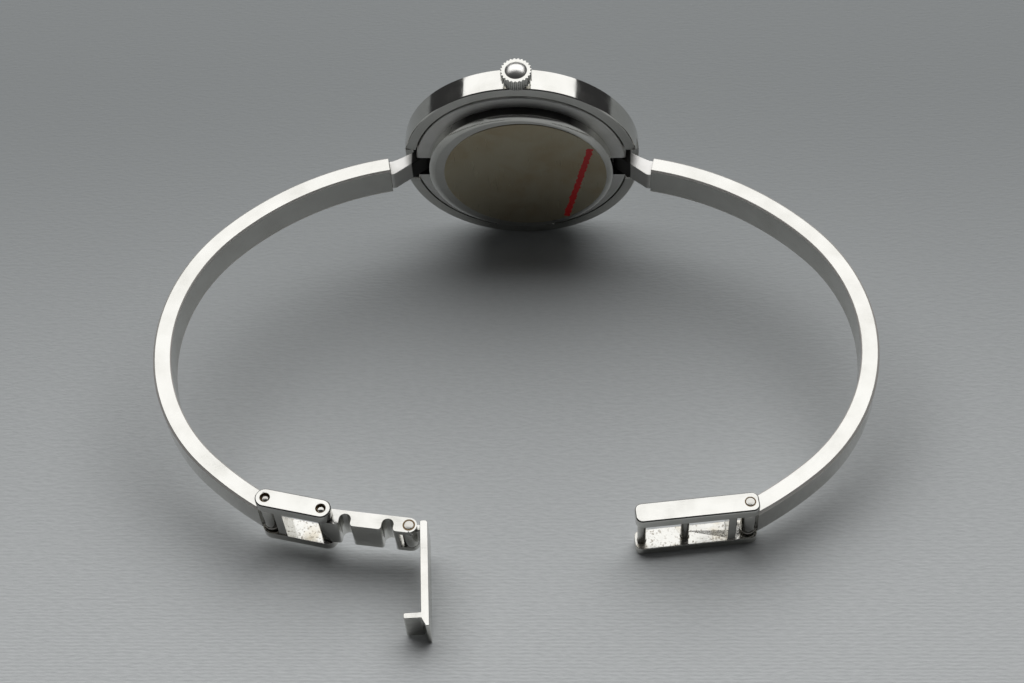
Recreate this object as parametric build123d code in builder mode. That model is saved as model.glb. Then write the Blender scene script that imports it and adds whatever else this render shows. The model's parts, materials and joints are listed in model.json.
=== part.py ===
"""A quartz bangle watch, lying open on a table with its dial turned away.

The watch is drawn in the frame of its own bangle: X across the wrist, Y along the case's axis
with the dial to the front (+Y) and the clasp behind (-Y), Z up through the crown. The last lines
set the finished pieces down on the table as the watch lies: on the case's rim, on the tip of the
clasp's lever and on the receiver. All lengths are in millimetres and all angles in degrees.
"""
import os
from math import asin, atan2, cos, degrees, hypot, pi, radians, sin, sqrt

from build123d import *

# Driving sizes of the case, in the bangle's frame. Y runs from the back (-) to the dial (+),
# and zero is the plane on which the case back's boss meets the case middle.
case_radius = 11.65
bezel_wall = 1.35
bezel_back = 0.1
bezel_front = 3.1
boss_inset = 1.5
boss_height = 1.4
back_thickness = 0.5
back_bore_inset = 2.3
movement_inset = 3.25
main_plate_back = 0.6
main_plate_thickness = 1.1
dial_thickness = 0.28
crystal_back = 2.5
crystal_thickness = 0.65
crystal_inset = 1.65
stem_depth = 1.1
stem_radius = 0.38
bezel_radius = case_radius + bezel_wall
boss_radius = case_radius - boss_inset
back_bore_radius = case_radius - back_bore_inset
movement_radius = case_radius - movement_inset
main_plate_front = main_plate_back + main_plate_thickness
crystal_radius = case_radius - crystal_inset

# Driving sizes of the arms. Each arm is a rigid band that follows three tangent arcs.
arm_pin_inset = 0.7
arm_pin_y = 0.95
arm_pin_radius = 0.35
seam_reach = 1.475
seam_y = -1.35
seam_heading = -11.22
band_height = 3.9
band_thickness = 1.9
shoulder_radius = 31.64
side_radius = 19.8
heel_radius = 40.1
shoulder_turn = 35.3
side_turn = 91.5
heel_turn = 10.54
arm_pin_x = case_radius - arm_pin_inset
seam_x = bezel_radius + seam_reach

# Driving sizes of the clasp, where every pin stands along Z.
clasp_height = 7.0
plate_thickness = 1.2
plate_radius = 1.02
link_pitch = 5.75
link_heading = -11.5
blade_pitch = 8.7
blade_heading = -6.7
blade_height = 4.1
first_notch_place = 2.3
cross_pin_pitch = 4.3
lever_heading = -85.9
lever_length = 10.8
lever_height = 4.0
lever_thickness = 0.78
receiver_heading = 187.2
receiver_reach = 10.6
clasp_pin_radius = 0.45

# Small values that several pieces share.
overrun = 1.0
running_gap = 0.03
seat_gap = 0.02
fine_gap = 0.05
edge_break = 0.1
half_turn = 180
dial_back = main_plate_front + fine_gap


def seen_from_back(y):
    """The plane across the case at depth y, with X to the right, the crown up and the back near."""
    return Plane(origin=(0, y, 0), x_dir=(1, 0, 0), z_dir=(0, -1, 0))


def along(point, heading, distance):
    """The point that lies a distance from another along a heading in the bangle's plane."""
    return (
        point[0] + distance * cos(radians(heading)),
        point[1] + distance * sin(radians(heading)),
    )


def pin_plane(point, heading, z):
    """A plane across the clasp at height z, with its origin on a pin and X along the piece."""
    way = (cos(radians(heading)), sin(radians(heading)), 0)
    return Plane(origin=(point[0], point[1], z), x_dir=way, z_dir=(0, 0, 1))


def tooth_points(teeth, module, tooth_at, depth_share=1.1, height_share=0.8):
    """The outline of a toothed wheel, with the middle of one tooth at the given angle."""
    pitch_radius = teeth * module / 2
    pitch_angle = 360 / teeth
    root = pitch_radius - depth_share * module
    tip = pitch_radius + height_share * module
    corner_shares = ((root, -0.27), (tip, -0.1), (tip, 0.1), (root, 0.27))
    points = []
    for number in range(teeth):
        for radius, share in corner_shares:
            angle = radians(tooth_at + (number + share) * pitch_angle)
            points.append((radius * cos(angle), radius * sin(angle)))
    return points


def gap_facing(teeth, direction):
    """The tooth angle that turns a gap between two teeth to the given direction."""
    return direction + half_turn / teeth


# Case middle: the steel ring that everything is mounted in, with a slot at each side for an arm.
case_front = 2.2
collar_inset = 0.75
collar_front = 2.95
crystal_gasket_width = 0.35
ledge_inset = 2.75
holder_bore_inset = 2.45
holder_bore_back = 0.7
back_gasket_width = 0.25
gasket_bore_front = 0.3
neck_height = 2.5
neck_drop = 0.1
slot_height = 3.0
slot_drop = 0.25
slot_reach = 0.9
slot_front = 1.7
arm_pin_half_length = 2.5
tube_radius = 0.78
tube_bore_radius = 0.5
collar_radius = case_radius - collar_inset
crystal_bore_radius = crystal_radius + crystal_gasket_width
ledge_radius = case_radius - ledge_inset
holder_bore_radius = case_radius - holder_bore_inset
gasket_bore_radius = back_bore_radius + back_gasket_width
slot_inner_x = arm_pin_x - slot_reach
slot_bottom = -slot_drop - slot_height / 2

with BuildPart() as case_middle:
    with BuildSketch(Plane.XY):
        with BuildLine():
            Polyline(
                (gasket_bore_radius, 0),
                (case_radius - edge_break, 0),
                (case_radius, edge_break),
                (case_radius, case_front),
                (collar_radius, case_front),
                (collar_radius, collar_front),
                (crystal_bore_radius, collar_front),
                (crystal_bore_radius, crystal_back),
                (ledge_radius, crystal_back),
                (ledge_radius, dial_back + dial_thickness + seat_gap),
                (holder_bore_radius, dial_back + dial_thickness + seat_gap),
                (holder_bore_radius, holder_bore_back),
                (back_bore_radius, holder_bore_back),
                (back_bore_radius, gasket_bore_front),
                (gasket_bore_radius, gasket_bore_front),
                close=True,
            )
        make_face()
    revolve(axis=Axis.Y)
    for side in (-1, 1):
        slot_length = case_radius + overrun - slot_inner_x
        with BuildSketch(Plane.XY.offset(slot_bottom)):
            with Locations((side * (slot_inner_x + slot_length / 2), (slot_front - overrun) / 2)):
                Rectangle(slot_length, slot_front + overrun)
        extrude(amount=slot_height, mode=Mode.SUBTRACT)
        with BuildSketch(Plane.XY.offset(-arm_pin_half_length)):
            with Locations((side * arm_pin_x, arm_pin_y)):
                Circle(arm_pin_radius)
        extrude(amount=2 * arm_pin_half_length, mode=Mode.SUBTRACT)
    with BuildSketch(Plane.XY.offset(ledge_radius - overrun)):
        with Locations((0, stem_depth)):
            Circle(tube_radius)
    extrude(amount=case_radius + overrun - ledge_radius + overrun, mode=Mode.SUBTRACT)
case_middle.part.label = "case_middle"

# Bezel ring: the wide polished ring around the case middle, with a gap line behind.
bezel_gap_width = 0.2
bezel_gap_radius = case_radius + bezel_gap_width
bezel_bore_radius = case_radius + fine_gap
bezel_lip_radius = collar_radius + fine_gap
bezel_lip_back = case_front + fine_gap
bezel_gap_depth = 0.4
bezel_front_bevel = 0.28
bezel_back_bevel = 0.12
bezel_notch_front = 1.85
bezel_notch_half_height = 2.6

with BuildPart() as bezel_ring:
    with BuildSketch(Plane.XY):
        with BuildLine():
            Polyline(
                (bezel_gap_radius, bezel_back),
                (bezel_radius - bezel_back_bevel, bezel_back),
                (bezel_radius, bezel_back + bezel_back_bevel),
                (bezel_radius, bezel_front - bezel_front_bevel),
                (bezel_radius - bezel_front_bevel, bezel_front),
                (bezel_lip_radius + bezel_back_bevel, bezel_front),
                (bezel_lip_radius, bezel_front - bezel_back_bevel),
                (bezel_lip_radius, bezel_lip_back),
                (bezel_bore_radius, bezel_lip_back),
                (bezel_bore_radius, bezel_back + bezel_gap_depth),
                (bezel_gap_radius, bezel_back + bezel_gap_depth - bezel_back_bevel),
                close=True,
            )
        make_face()
    revolve(axis=Axis.Y)
    for side in (-1, 1):
        with BuildSketch(Plane.XY.offset(-bezel_notch_half_height)):
            with Locations((side * bezel_radius, (bezel_notch_front - overrun) / 2)):
                Rectangle(2 * (bezel_radius - collar_radius), bezel_notch_front + overrun)
        extrude(amount=2 * bezel_notch_half_height, mode=Mode.SUBTRACT)
    with BuildSketch(Plane.XY.offset(case_radius - overrun)):
        with Locations((0, stem_depth)):
            Circle(tube_radius + fine_gap)
    extrude(amount=bezel_radius - case_radius + 2 * overrun, mode=Mode.SUBTRACT)
bezel_ring.part.label = "bezel_ring"

# Case back: a snap-on cup whose boss stands proud behind, with a rounded polished rim.
boss_rim_width = 0.65
boss_flat_radius = boss_radius - boss_rim_width
boss_rim_height = 0.3
skirt_front = 0.6
skirt_thickness = 0.4
skirt_radius = back_bore_radius - fine_gap
back_inner = -(boss_height - back_thickness)

with BuildPart() as case_back:
    with BuildSketch(Plane.XY):
        with BuildLine():
            Polyline(
                (boss_radius, -(boss_height - boss_rim_height)),
                (boss_radius, -seat_gap),
                (skirt_radius, -seat_gap),
                (skirt_radius, skirt_front),
                (skirt_radius - skirt_thickness, skirt_front),
                (skirt_radius - skirt_thickness, back_inner),
                (0, back_inner),
                (0, -boss_height),
                (boss_flat_radius, -boss_height),
            )
            RadiusArc(
                (boss_flat_radius, -boss_height),
                (boss_radius, -(boss_height - boss_rim_height)),
                -boss_height,
            )
        make_face()
    revolve(axis=Axis.Y)
case_back.part.label = "case_back"

# Back film: the thin protective film that still covers the flat of the case back.
film_rim_gap = 0.03
film_thickness = 0.06
film_offset = 0.5
film_radius = boss_flat_radius - film_offset - film_rim_gap

with BuildPart() as back_film:
    with BuildSketch(seen_from_back(-boss_height)):
        with Locations((film_offset, 0)):
            Circle(film_radius)
    extrude(amount=film_thickness)
back_film.part.label = "back_film"

# Back gasket: the sealing ring between the case back's skirt and the case middle.
with BuildPart() as back_gasket:
    with BuildSketch(seen_from_back(gasket_bore_front - seat_gap)):
        Circle(gasket_bore_radius - seat_gap)
        Circle(skirt_radius + seat_gap, mode=Mode.SUBTRACT)
    extrude(amount=gasket_bore_front - 2 * seat_gap)
back_gasket.part.label = "back_gasket"

# Crystal and its gasket, pressed into the front of the case middle.
crystal_bevel = 0.2

with BuildPart() as crystal:
    with BuildSketch(seen_from_back(crystal_back + crystal_thickness)):
        Circle(crystal_radius)
    extrude(amount=crystal_thickness)
    chamfer(crystal.edges().sort_by(Axis.Y)[-1], crystal_bevel)
crystal.part.label = "crystal"

with BuildPart() as crystal_gasket:
    with BuildSketch(seen_from_back(collar_front)):
        Circle(crystal_bore_radius - seat_gap)
        Circle(crystal_radius + seat_gap, mode=Mode.SUBTRACT)
    extrude(amount=collar_front - crystal_back)
crystal_gasket.part.label = "crystal_gasket"

# Movement holder: the plastic ring that centres the movement in the case.
holder_wall = 0.45
holder_step_radius = skirt_radius - skirt_thickness - fine_gap

with BuildPart() as movement_holder:
    with BuildSketch(seen_from_back(main_plate_front)):
        Circle(holder_bore_radius - fine_gap)
        Circle(movement_radius + seat_gap, mode=Mode.SUBTRACT)
    extrude(amount=main_plate_front - holder_bore_back)
    with BuildSketch(seen_from_back(holder_bore_back)):
        Circle(holder_step_radius)
        Circle(movement_radius + seat_gap, mode=Mode.SUBTRACT)
    extrude(amount=holder_bore_back - back_inner - fine_gap)
    with BuildSketch(Plane.XY.offset(movement_radius - overrun)):
        with Locations((0, stem_depth)):
            Rectangle(2 * (stem_radius + edge_break), 2 * (stem_radius + edge_break))
    extrude(amount=3 * overrun, mode=Mode.SUBTRACT)
movement_holder.part.label = "movement_holder"

# The movement's layout, seen from the back: where each axle and post stands.
train_module_share = 1 / 60
fine_module_share = 0.01012
rotor_module_share = 1 / 120
motion_module_share = 1 / 84
train_module = train_module_share * movement_radius
fine_module = fine_module_share * movement_radius
rotor_module = rotor_module_share * movement_radius
motion_module = motion_module_share * movement_radius
centre_teeth = 24
third_teeth = 40
middle_teeth = 48
leaf_count = 8
cannon_teeth = 10
minute_teeth = 30
hour_teeth = 32
third_direction = 20
middle_direction = -20
rotor_direction = 60
minute_direction = 90
centre_axle = (0, 0)
third_distance = (centre_teeth + leaf_count) * train_module / 2
middle_distance = (third_teeth + leaf_count) * fine_module / 2
rotor_distance = (middle_teeth + leaf_count) * rotor_module / 2
minute_distance = (cannon_teeth + minute_teeth) * motion_module / 2
third_axle = along(centre_axle, third_direction, third_distance)
middle_axle = along(third_axle, middle_direction, middle_distance)
rotor_axle = along(middle_axle, rotor_direction, rotor_distance)
minute_axle = along(centre_axle, minute_direction, minute_distance)
train_axles = (centre_axle, third_axle, middle_axle, rotor_axle)
coil_distance_share = 0.714
coil_distance = coil_distance_share * movement_radius
coil_direction = -52
coil_centre = along(centre_axle, coil_direction, coil_distance)
coil_length_share = 0.738
coil_length = coil_length_share * movement_radius
coil_radius = 0.6
core_length = movement_radius
core_width = 0.8
core_thickness = 0.3
core_near_end = along(coil_centre, coil_direction + 90, core_length / 2)
core_far_end = along(coil_centre, coil_direction - 90, core_length / 2)
battery_distance_share = 0.631
battery_distance = battery_distance_share * movement_radius
battery_direction = -144
battery_centre = along(centre_axle, battery_direction, battery_distance)
battery_radius_share = 0.345
battery_radius = battery_radius_share * movement_radius
battery_height = 1.25
battery_front = 0.8
bridge_post_shares = ((121.6, 0.363), (62.4, 0.564), (4.7, 0.871), (-78.7, 0.364))
bridge_posts = tuple(
    along(centre_axle, direction, share * movement_radius)
    for direction, share in bridge_post_shares
)
board_post_direction = -38
board_post_share = 0.881
board_post = along(centre_axle, board_post_direction, board_post_share * movement_radius)
clamp_post_direction = 175
clamp_post_share = 0.857
clamp_post = along(centre_axle, clamp_post_direction, clamp_post_share * movement_radius)
bridge_post_radius_share = 0.089
bridge_post_radius = bridge_post_radius_share * movement_radius
small_post_radius_share = 0.054
small_post_radius = small_post_radius_share * movement_radius
screw_radius = 0.2
screw_head_radius = 0.42
screw_head_height = 0.15
screw_depth = 0.4
bridge_front = -0.25
bridge_thickness = 0.3
bridge_back = bridge_front - bridge_thickness
board_front = -0.57
board_thickness = 0.15
clamp_thickness = 0.1
setting_pivot_shares = (0.226, 0.839)
setting_pivot = tuple(share * movement_radius for share in setting_pivot_shares)
setting_pin_travel = 0.8
setting_pin_x = 0.45
setting_pin = (setting_pin_x, setting_pivot[1] - setting_pin_travel / 2)
setting_pin_radius = 0.13
setting_post_radius = 0.25
dial_foot_radius = 0.25
dial_foot_inset = 0.8
dial_foot_distance = movement_radius - dial_foot_inset
dial_foot_directions = (20, 200)
dial_foot_length = 0.8
pinion_window_share = 0.5
pinion_window_bottom = pinion_window_share * movement_radius
pinion_window_height = 1.5
pinion_window_top = pinion_window_bottom + pinion_window_height
pinion_window_width = 1.5
motion_recess_depth = 0.45
arbor_radius = 0.12
centre_arbor_share = 0.03
centre_arbor_radius = centre_arbor_share * movement_radius
rotor_magnet_share = 0.0833
rotor_magnet_radius = rotor_magnet_share * movement_radius
stator_bore_radius = rotor_magnet_radius + 3 * fine_gap
stator_thickness = 0.3

# Main plate: carries the train, the motor, the battery and, under the dial, the motion work.
with BuildPart() as main_plate:
    with BuildSketch(seen_from_back(main_plate_front)):
        Circle(movement_radius)
    extrude(amount=main_plate_front - main_plate_back)
    with BuildSketch(seen_from_back(main_plate_back)):
        with Locations(*bridge_posts):
            Circle(bridge_post_radius)
    extrude(amount=main_plate_back - bridge_front)
    with BuildSketch(seen_from_back(main_plate_back)):
        with Locations(board_post):
            Circle(small_post_radius)
    extrude(amount=main_plate_back - board_front)
    with BuildSketch(seen_from_back(main_plate_back)):
        with Locations(clamp_post):
            Circle(small_post_radius)
    extrude(amount=main_plate_back - board_front - clamp_thickness)
    with BuildSketch(seen_from_back(main_plate_back)):
        with Locations(setting_pivot):
            Circle(setting_post_radius)
    extrude(amount=2 * edge_break + fine_gap)
    with BuildSketch(seen_from_back(battery_front)):
        with Locations(battery_centre):
            Circle(battery_radius + fine_gap)
    extrude(amount=overrun, mode=Mode.SUBTRACT)
    with BuildSketch(seen_from_back(main_plate_back + coil_radius / 4)):
        with Locations(Location(coil_centre, coil_direction + 90)):
            Rectangle(coil_length + 4 * edge_break, 2 * coil_radius + 2 * edge_break)
    extrude(amount=coil_radius / 4, mode=Mode.SUBTRACT)
    with BuildSketch(seen_from_back(main_plate_back + stator_thickness)):
        with Locations(rotor_axle):
            Circle(rotor_magnet_radius + edge_break)
        with Locations(third_axle, middle_axle):
            Circle(arbor_radius + running_gap)
    extrude(amount=overrun, mode=Mode.SUBTRACT)
    with BuildSketch(seen_from_back(main_plate_front)):
        Circle(centre_arbor_radius + running_gap)
    extrude(amount=main_plate_front - main_plate_back, mode=Mode.SUBTRACT)
    with BuildSketch(seen_from_back(main_plate_front)):
        Circle(hour_teeth * motion_module / 2 + 2 * edge_break)
        with Locations(minute_axle):
            Circle(minute_teeth * motion_module / 2 + 2 * edge_break)
        with Locations(minute_axle):
            Circle(setting_post_radius - fine_gap, mode=Mode.SUBTRACT)
    extrude(amount=motion_recess_depth, mode=Mode.SUBTRACT)
    with BuildSketch(seen_from_back(main_plate_front)):
        for direction in dial_foot_directions:
            with Locations(along(centre_axle, direction, dial_foot_distance)):
                Circle(dial_foot_radius + fine_gap)
    extrude(amount=dial_foot_length + fine_gap, mode=Mode.SUBTRACT)
    with BuildSketch(Plane.XY.offset(pinion_window_bottom - 2 * edge_break)):
        with Locations((0, stem_depth)):
            Circle(stem_radius + running_gap)
    extrude(amount=movement_radius, mode=Mode.SUBTRACT)
    window_middle = (0, (pinion_window_bottom + pinion_window_top) / 2)
    with BuildSketch(seen_from_back(main_plate_front)):
        with Locations(window_middle):
            Rectangle(pinion_window_width, pinion_window_top - pinion_window_bottom)
    extrude(amount=main_plate_front - main_plate_back, mode=Mode.SUBTRACT)
    with BuildSketch(seen_from_back(stem_depth)):
        with Locations((setting_pin[0], setting_pivot[1])):
            Rectangle(
                4 * setting_pin_radius + edge_break,
                setting_pin_travel + 4 * setting_pin_radius,
            )
    extrude(amount=stem_depth - main_plate_back, mode=Mode.SUBTRACT)
    with BuildSketch(seen_from_back(screw_depth)):
        with Locations(*bridge_posts, board_post, clamp_post):
            Circle(screw_radius)
    extrude(amount=screw_depth - board_front + overrun, mode=Mode.SUBTRACT)
main_plate.part.label = "main_plate"

# Train bridge: the steel plate that holds the back pivots, on four posts of the main plate.
bridge_rim = 0.15

with BuildPart() as train_bridge:
    with BuildSketch(seen_from_back(bridge_front)):
        Polygon(*bridge_posts, align=None)
        with Locations(*bridge_posts):
            Circle(bridge_post_radius + bridge_rim)
        with Locations(*bridge_posts):
            Circle(screw_radius, mode=Mode.SUBTRACT)
        with Locations(*train_axles):
            Circle(2 * arbor_radius + edge_break, mode=Mode.SUBTRACT)
    extrude(amount=bridge_thickness)
train_bridge.part.label = "train_bridge"

# Train jewels: the four ruby rings in the bridge, one for each back pivot.
with BuildPart() as train_jewels:
    with BuildSketch(seen_from_back(bridge_front)):
        with Locations(*train_axles):
            Circle(2 * arbor_radius + edge_break)
            Circle(arbor_radius + running_gap, mode=Mode.SUBTRACT)
    extrude(amount=bridge_thickness)
train_jewels.part.label = "train_jewels"


def add_screw(point, seat):
    """One screw whose head lies on the seat at depth y and whose shank runs to the plate."""
    with BuildSketch(seen_from_back(seat)) as head:
        with Locations(point):
            Circle(screw_head_radius)
    extrude(head.sketch, amount=screw_head_height)
    with BuildSketch(seen_from_back(screw_depth)) as shank:
        with Locations(point):
            Circle(screw_radius)
    extrude(shank.sketch, amount=screw_depth - seat)
    with BuildSketch(seen_from_back(seat - screw_head_height / 2)) as slot:
        with Locations(point):
            Rectangle(2 * screw_head_radius + edge_break, edge_break)
    extrude(slot.sketch, amount=screw_head_height, mode=Mode.SUBTRACT)


# Bridge screws and board screws: slotted screws of one size, on their two seats.
with BuildPart() as bridge_screws:
    for post in bridge_posts:
        add_screw(post, bridge_back)
bridge_screws.part.label = "bridge_screws"

with BuildPart() as board_screws:
    for post in (board_post, clamp_post):
        add_screw(post, board_front - board_thickness)
board_screws.part.label = "board_screws"

# Battery: a button cell with a stepped rim, in the main plate's pocket.
cell_step = 0.25
with BuildPart() as battery:
    with BuildSketch(seen_from_back(battery_front)):
        with Locations(battery_centre):
            Circle(battery_radius - cell_step)
    extrude(amount=cell_step)
    with BuildSketch(seen_from_back(battery_front - cell_step)):
        with Locations(battery_centre):
            Circle(battery_radius)
    extrude(amount=battery_height - cell_step)
battery.part.label = "battery"

# Battery clamp: the spring strap from its post to the middle of the cell.
battery_back = battery_front - battery_height
clamp_width = 1.0

with BuildPart() as battery_clamp:
    strap_run = Vector(*battery_centre) - Vector(*clamp_post)
    strap_middle = (Vector(*battery_centre) + Vector(*clamp_post)) / 2
    strap_turn = degrees(atan2(strap_run.Y, strap_run.X))
    with BuildSketch(seen_from_back(board_front + clamp_thickness)):
        with Locations(Location((strap_middle.X, strap_middle.Y), strap_turn)):
            SlotCenterToCenter(strap_run.length, clamp_width)
        with Locations(clamp_post):
            Circle(screw_radius, mode=Mode.SUBTRACT)
    extrude(amount=clamp_thickness)
battery_clamp.part.label = "battery_clamp"

# Circuit board: a ring-shaped printed board above the coil, with an arm round the battery.
board_edge_inset = 0.3
board_inner_share = 0.619
board_arm_share = 0.821
board_outer_radius = movement_radius - board_edge_inset
board_inner_radius = board_inner_share * movement_radius
board_arm_radius = board_arm_share * movement_radius
board_start = -108
board_end = -8
board_arm_start = -215


def ring_sector(inner, outer, start, end):
    """A flat sector of a ring between two directions."""
    with BuildLine() as rim:
        CenterArc((0, 0), outer, start, end - start)
        CenterArc((0, 0), inner, start, end - start)
        for direction in (start, end):
            near = along(centre_axle, direction, inner)
            Line(near, along(centre_axle, direction, outer))
    make_face(rim.edges())


with BuildPart() as circuit_board:
    with BuildSketch(seen_from_back(board_front)):
        ring_sector(board_inner_radius, board_outer_radius, board_start, board_end)
    extrude(amount=board_thickness)
    with BuildSketch(seen_from_back(board_front)):
        ring_sector(board_arm_radius, board_outer_radius, board_arm_start, board_start)
    extrude(amount=board_thickness)
    with BuildSketch(seen_from_back(board_front)):
        with Locations(board_post, clamp_post):
            Circle(screw_radius)
    extrude(amount=board_thickness, mode=Mode.SUBTRACT)
circuit_board.part.label = "circuit_board"

# Timing chip, under the board between the battery and the coil.
chip_size_share = 0.167
chip_size = chip_size_share * movement_radius
chip_height = 0.4
chip_direction = -100.8
chip_distance_share = 0.762
chip_place = along(centre_axle, chip_direction, chip_distance_share * movement_radius)

with BuildPart() as timing_chip:
    with BuildSketch(seen_from_back(board_front + chip_height)):
        with Locations(chip_place):
            RectangleRounded(chip_size, chip_size, edge_break)
    extrude(amount=chip_height)
timing_chip.part.label = "timing_chip"

# Quartz crystal in its can, under the board's arm.
can_radius = 0.5
can_length_share = 0.429
can_length = can_length_share * movement_radius
can_direction = 150
can_distance = board_arm_radius
can_depth = board_front + can_radius
can_middle = along(centre_axle, can_direction, can_distance)

with BuildPart() as quartz_can:
    way = along(centre_axle, can_direction + 90, 1)
    start = along(can_middle, can_direction + 90, -can_length / 2)
    with BuildSketch(Plane(origin=(start[0], can_depth, start[1]), z_dir=(way[0], 0, way[1]))):
        Circle(can_radius)
    extrude(amount=can_length)
    fillet(quartz_can.edges().filter_by(GeomType.CIRCLE), edge_break)
quartz_can.part.label = "quartz_can"

# Coil, its core and the stator: the motor's magnetic circuit round the rotor.
coil_depth = main_plate_back - stator_thickness - core_thickness / 2

with BuildPart() as coil_core:
    with BuildSketch(seen_from_back(coil_depth + core_thickness / 2)):
        with Locations(Location(coil_centre, coil_direction + 90)):
            SlotOverall(core_length + core_width, core_width)
    extrude(amount=core_thickness)
coil_core.part.label = "coil_core"

with BuildPart() as coil:
    way = along(centre_axle, coil_direction + 90, 1)
    start = along(coil_centre, coil_direction + 90, -coil_length / 2)
    with BuildSketch(Plane(origin=(start[0], coil_depth, start[1]), z_dir=(way[0], 0, way[1]))):
        Circle(coil_radius)
    extrude(amount=coil_length)
    with BuildSketch(seen_from_back(coil_depth + core_thickness / 2)):
        with Locations(Location(coil_centre, coil_direction + 90)):
            Rectangle(coil_length + overrun, core_width)
    extrude(amount=core_thickness, mode=Mode.SUBTRACT)
coil.part.label = "coil"

stator_rim = 0.65
stator_disc_radius = stator_bore_radius + stator_rim
stator_leg_width = 1.0
stator_wide_leg_width = 1.5
stator_elbow_share = 0.19
stator_elbow_offset = stator_elbow_share * movement_radius
stator_elbow = along(core_far_end, coil_direction + half_turn, stator_elbow_offset)

with BuildPart() as stator:
    with BuildSketch(seen_from_back(main_plate_back)):
        with Locations(rotor_axle):
            Circle(stator_disc_radius)
        for start, end, width in (
            (rotor_axle, core_near_end, stator_leg_width),
            (rotor_axle, stator_elbow, stator_wide_leg_width),
            (stator_elbow, core_far_end, stator_leg_width),
        ):
            leg = Vector(*end) - Vector(*start)
            middle = (Vector(*end) + Vector(*start)) / 2
            with Locations(Location((middle.X, middle.Y), degrees(atan2(leg.Y, leg.X)))):
                SlotCenterToCenter(leg.length, width)
        with Locations(rotor_axle):
            Circle(stator_bore_radius, mode=Mode.SUBTRACT)
        with Locations(middle_axle, third_axle):
            Circle(3 * arbor_radius, mode=Mode.SUBTRACT)
        with Locations(*bridge_posts):
            Circle(bridge_post_radius + seat_gap, mode=Mode.SUBTRACT)
    extrude(amount=stator_thickness)
stator.part.label = "stator"

# The going train, in three layers from the centre wheel back to the rotor's pinion.
wheel_thickness = 0.12
layer_gap = 0.04
centre_wheel_front = main_plate_back - stator_thickness - layer_gap
third_wheel_front = centre_wheel_front - wheel_thickness - layer_gap
middle_wheel_front = third_wheel_front - wheel_thickness - layer_gap
pivot_back = bridge_back
motion_floor = main_plate_front - motion_recess_depth
cannon_rise = 0.41
cannon_front = dial_back + dial_thickness + cannon_rise
hour_pipe_bore_share = 0.0524
hour_pipe_bore = hour_pipe_bore_share * movement_radius
hour_pipe_wall = 0.16
hour_pipe_radius = hour_pipe_bore + hour_pipe_wall
cannon_radius = hour_pipe_bore - running_gap
minute_layer_back = motion_floor + layer_gap
motion_thickness = 0.14
hour_layer_back = minute_layer_back + motion_thickness + layer_gap


def add_wheel(point, front, thickness, outline):
    """One toothed disc on its axle, its front face at depth y."""
    with BuildSketch(seen_from_back(front)) as disc:
        with Locations(point):
            Polygon(*outline, align=None)
    extrude(disc.sketch, amount=thickness)


def add_arbor(point, front, back, radius):
    """The round axle of a wheel, from its front end to its back end."""
    with BuildSketch(seen_from_back(front)) as round_face:
        with Locations(point):
            Circle(radius)
    extrude(round_face.sketch, amount=front - back)


centre_outline = tooth_points(centre_teeth, train_module, third_direction)
third_gap = gap_facing(leaf_count, third_direction + half_turn)
third_leaves = tooth_points(leaf_count, train_module, third_gap)
third_outline = tooth_points(third_teeth, fine_module, middle_direction)
middle_gap = gap_facing(leaf_count, middle_direction + half_turn)
middle_leaves = tooth_points(leaf_count, fine_module, middle_gap)
middle_outline = tooth_points(middle_teeth, rotor_module, rotor_direction)
rotor_gap = gap_facing(leaf_count, rotor_direction + half_turn)
rotor_leaves = tooth_points(leaf_count, rotor_module, rotor_gap)
cannon_outline = tooth_points(cannon_teeth, motion_module, minute_direction)
minute_gap = gap_facing(minute_teeth, minute_direction + half_turn)
minute_outline = tooth_points(minute_teeth, motion_module, minute_gap)
minute_leaves = tooth_points(leaf_count, motion_module, minute_direction + half_turn)
hour_outline = tooth_points(hour_teeth, motion_module, gap_facing(hour_teeth, minute_direction))

with BuildPart() as centre_wheel:
    add_wheel(centre_axle, centre_wheel_front, wheel_thickness, centre_outline)
    add_arbor(centre_axle, cannon_front - edge_break, centre_wheel_front, centre_arbor_radius)
    add_arbor(centre_axle, centre_wheel_front, pivot_back, arbor_radius)
centre_wheel.part.label = "centre_wheel"

with BuildPart() as third_wheel:
    add_wheel(third_axle, third_wheel_front, wheel_thickness, third_outline)
    add_wheel(third_axle, main_plate_back - stator_thickness + seat_gap,
              main_plate_back - stator_thickness + seat_gap - third_wheel_front, third_leaves)
    add_arbor(third_axle, main_plate_back + stator_thickness - seat_gap, pivot_back, arbor_radius)
third_wheel.part.label = "third_wheel"

with BuildPart() as intermediate_wheel:
    add_wheel(middle_axle, middle_wheel_front, wheel_thickness, middle_outline)
    add_wheel(middle_axle, third_wheel_front + seat_gap,
              third_wheel_front + seat_gap - middle_wheel_front, middle_leaves)
    add_arbor(middle_axle, main_plate_back + stator_thickness - seat_gap, pivot_back, arbor_radius)
intermediate_wheel.part.label = "intermediate_wheel"

with BuildPart() as rotor:
    add_arbor(rotor_axle, main_plate_back + seat_gap, centre_wheel_front + layer_gap,
              rotor_magnet_radius)
    add_arbor(rotor_axle, main_plate_back + stator_thickness - seat_gap, pivot_back, arbor_radius)
    add_wheel(rotor_axle, middle_wheel_front + seat_gap,
              wheel_thickness + 2 * seat_gap, rotor_leaves)
rotor.part.label = "rotor"

# The motion work under the dial: cannon pinion, minute wheel and hour wheel.
with BuildPart() as cannon_pinion:
    add_wheel(centre_axle, minute_layer_back + motion_thickness, motion_thickness, cannon_outline)
    add_arbor(centre_axle, cannon_front, minute_layer_back, cannon_radius)
    with BuildSketch(seen_from_back(cannon_front - edge_break)):
        Circle(centre_arbor_radius)
    extrude(amount=cannon_front, mode=Mode.SUBTRACT)
cannon_pinion.part.label = "cannon_pinion"

minute_post_radius = setting_post_radius - fine_gap

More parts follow.
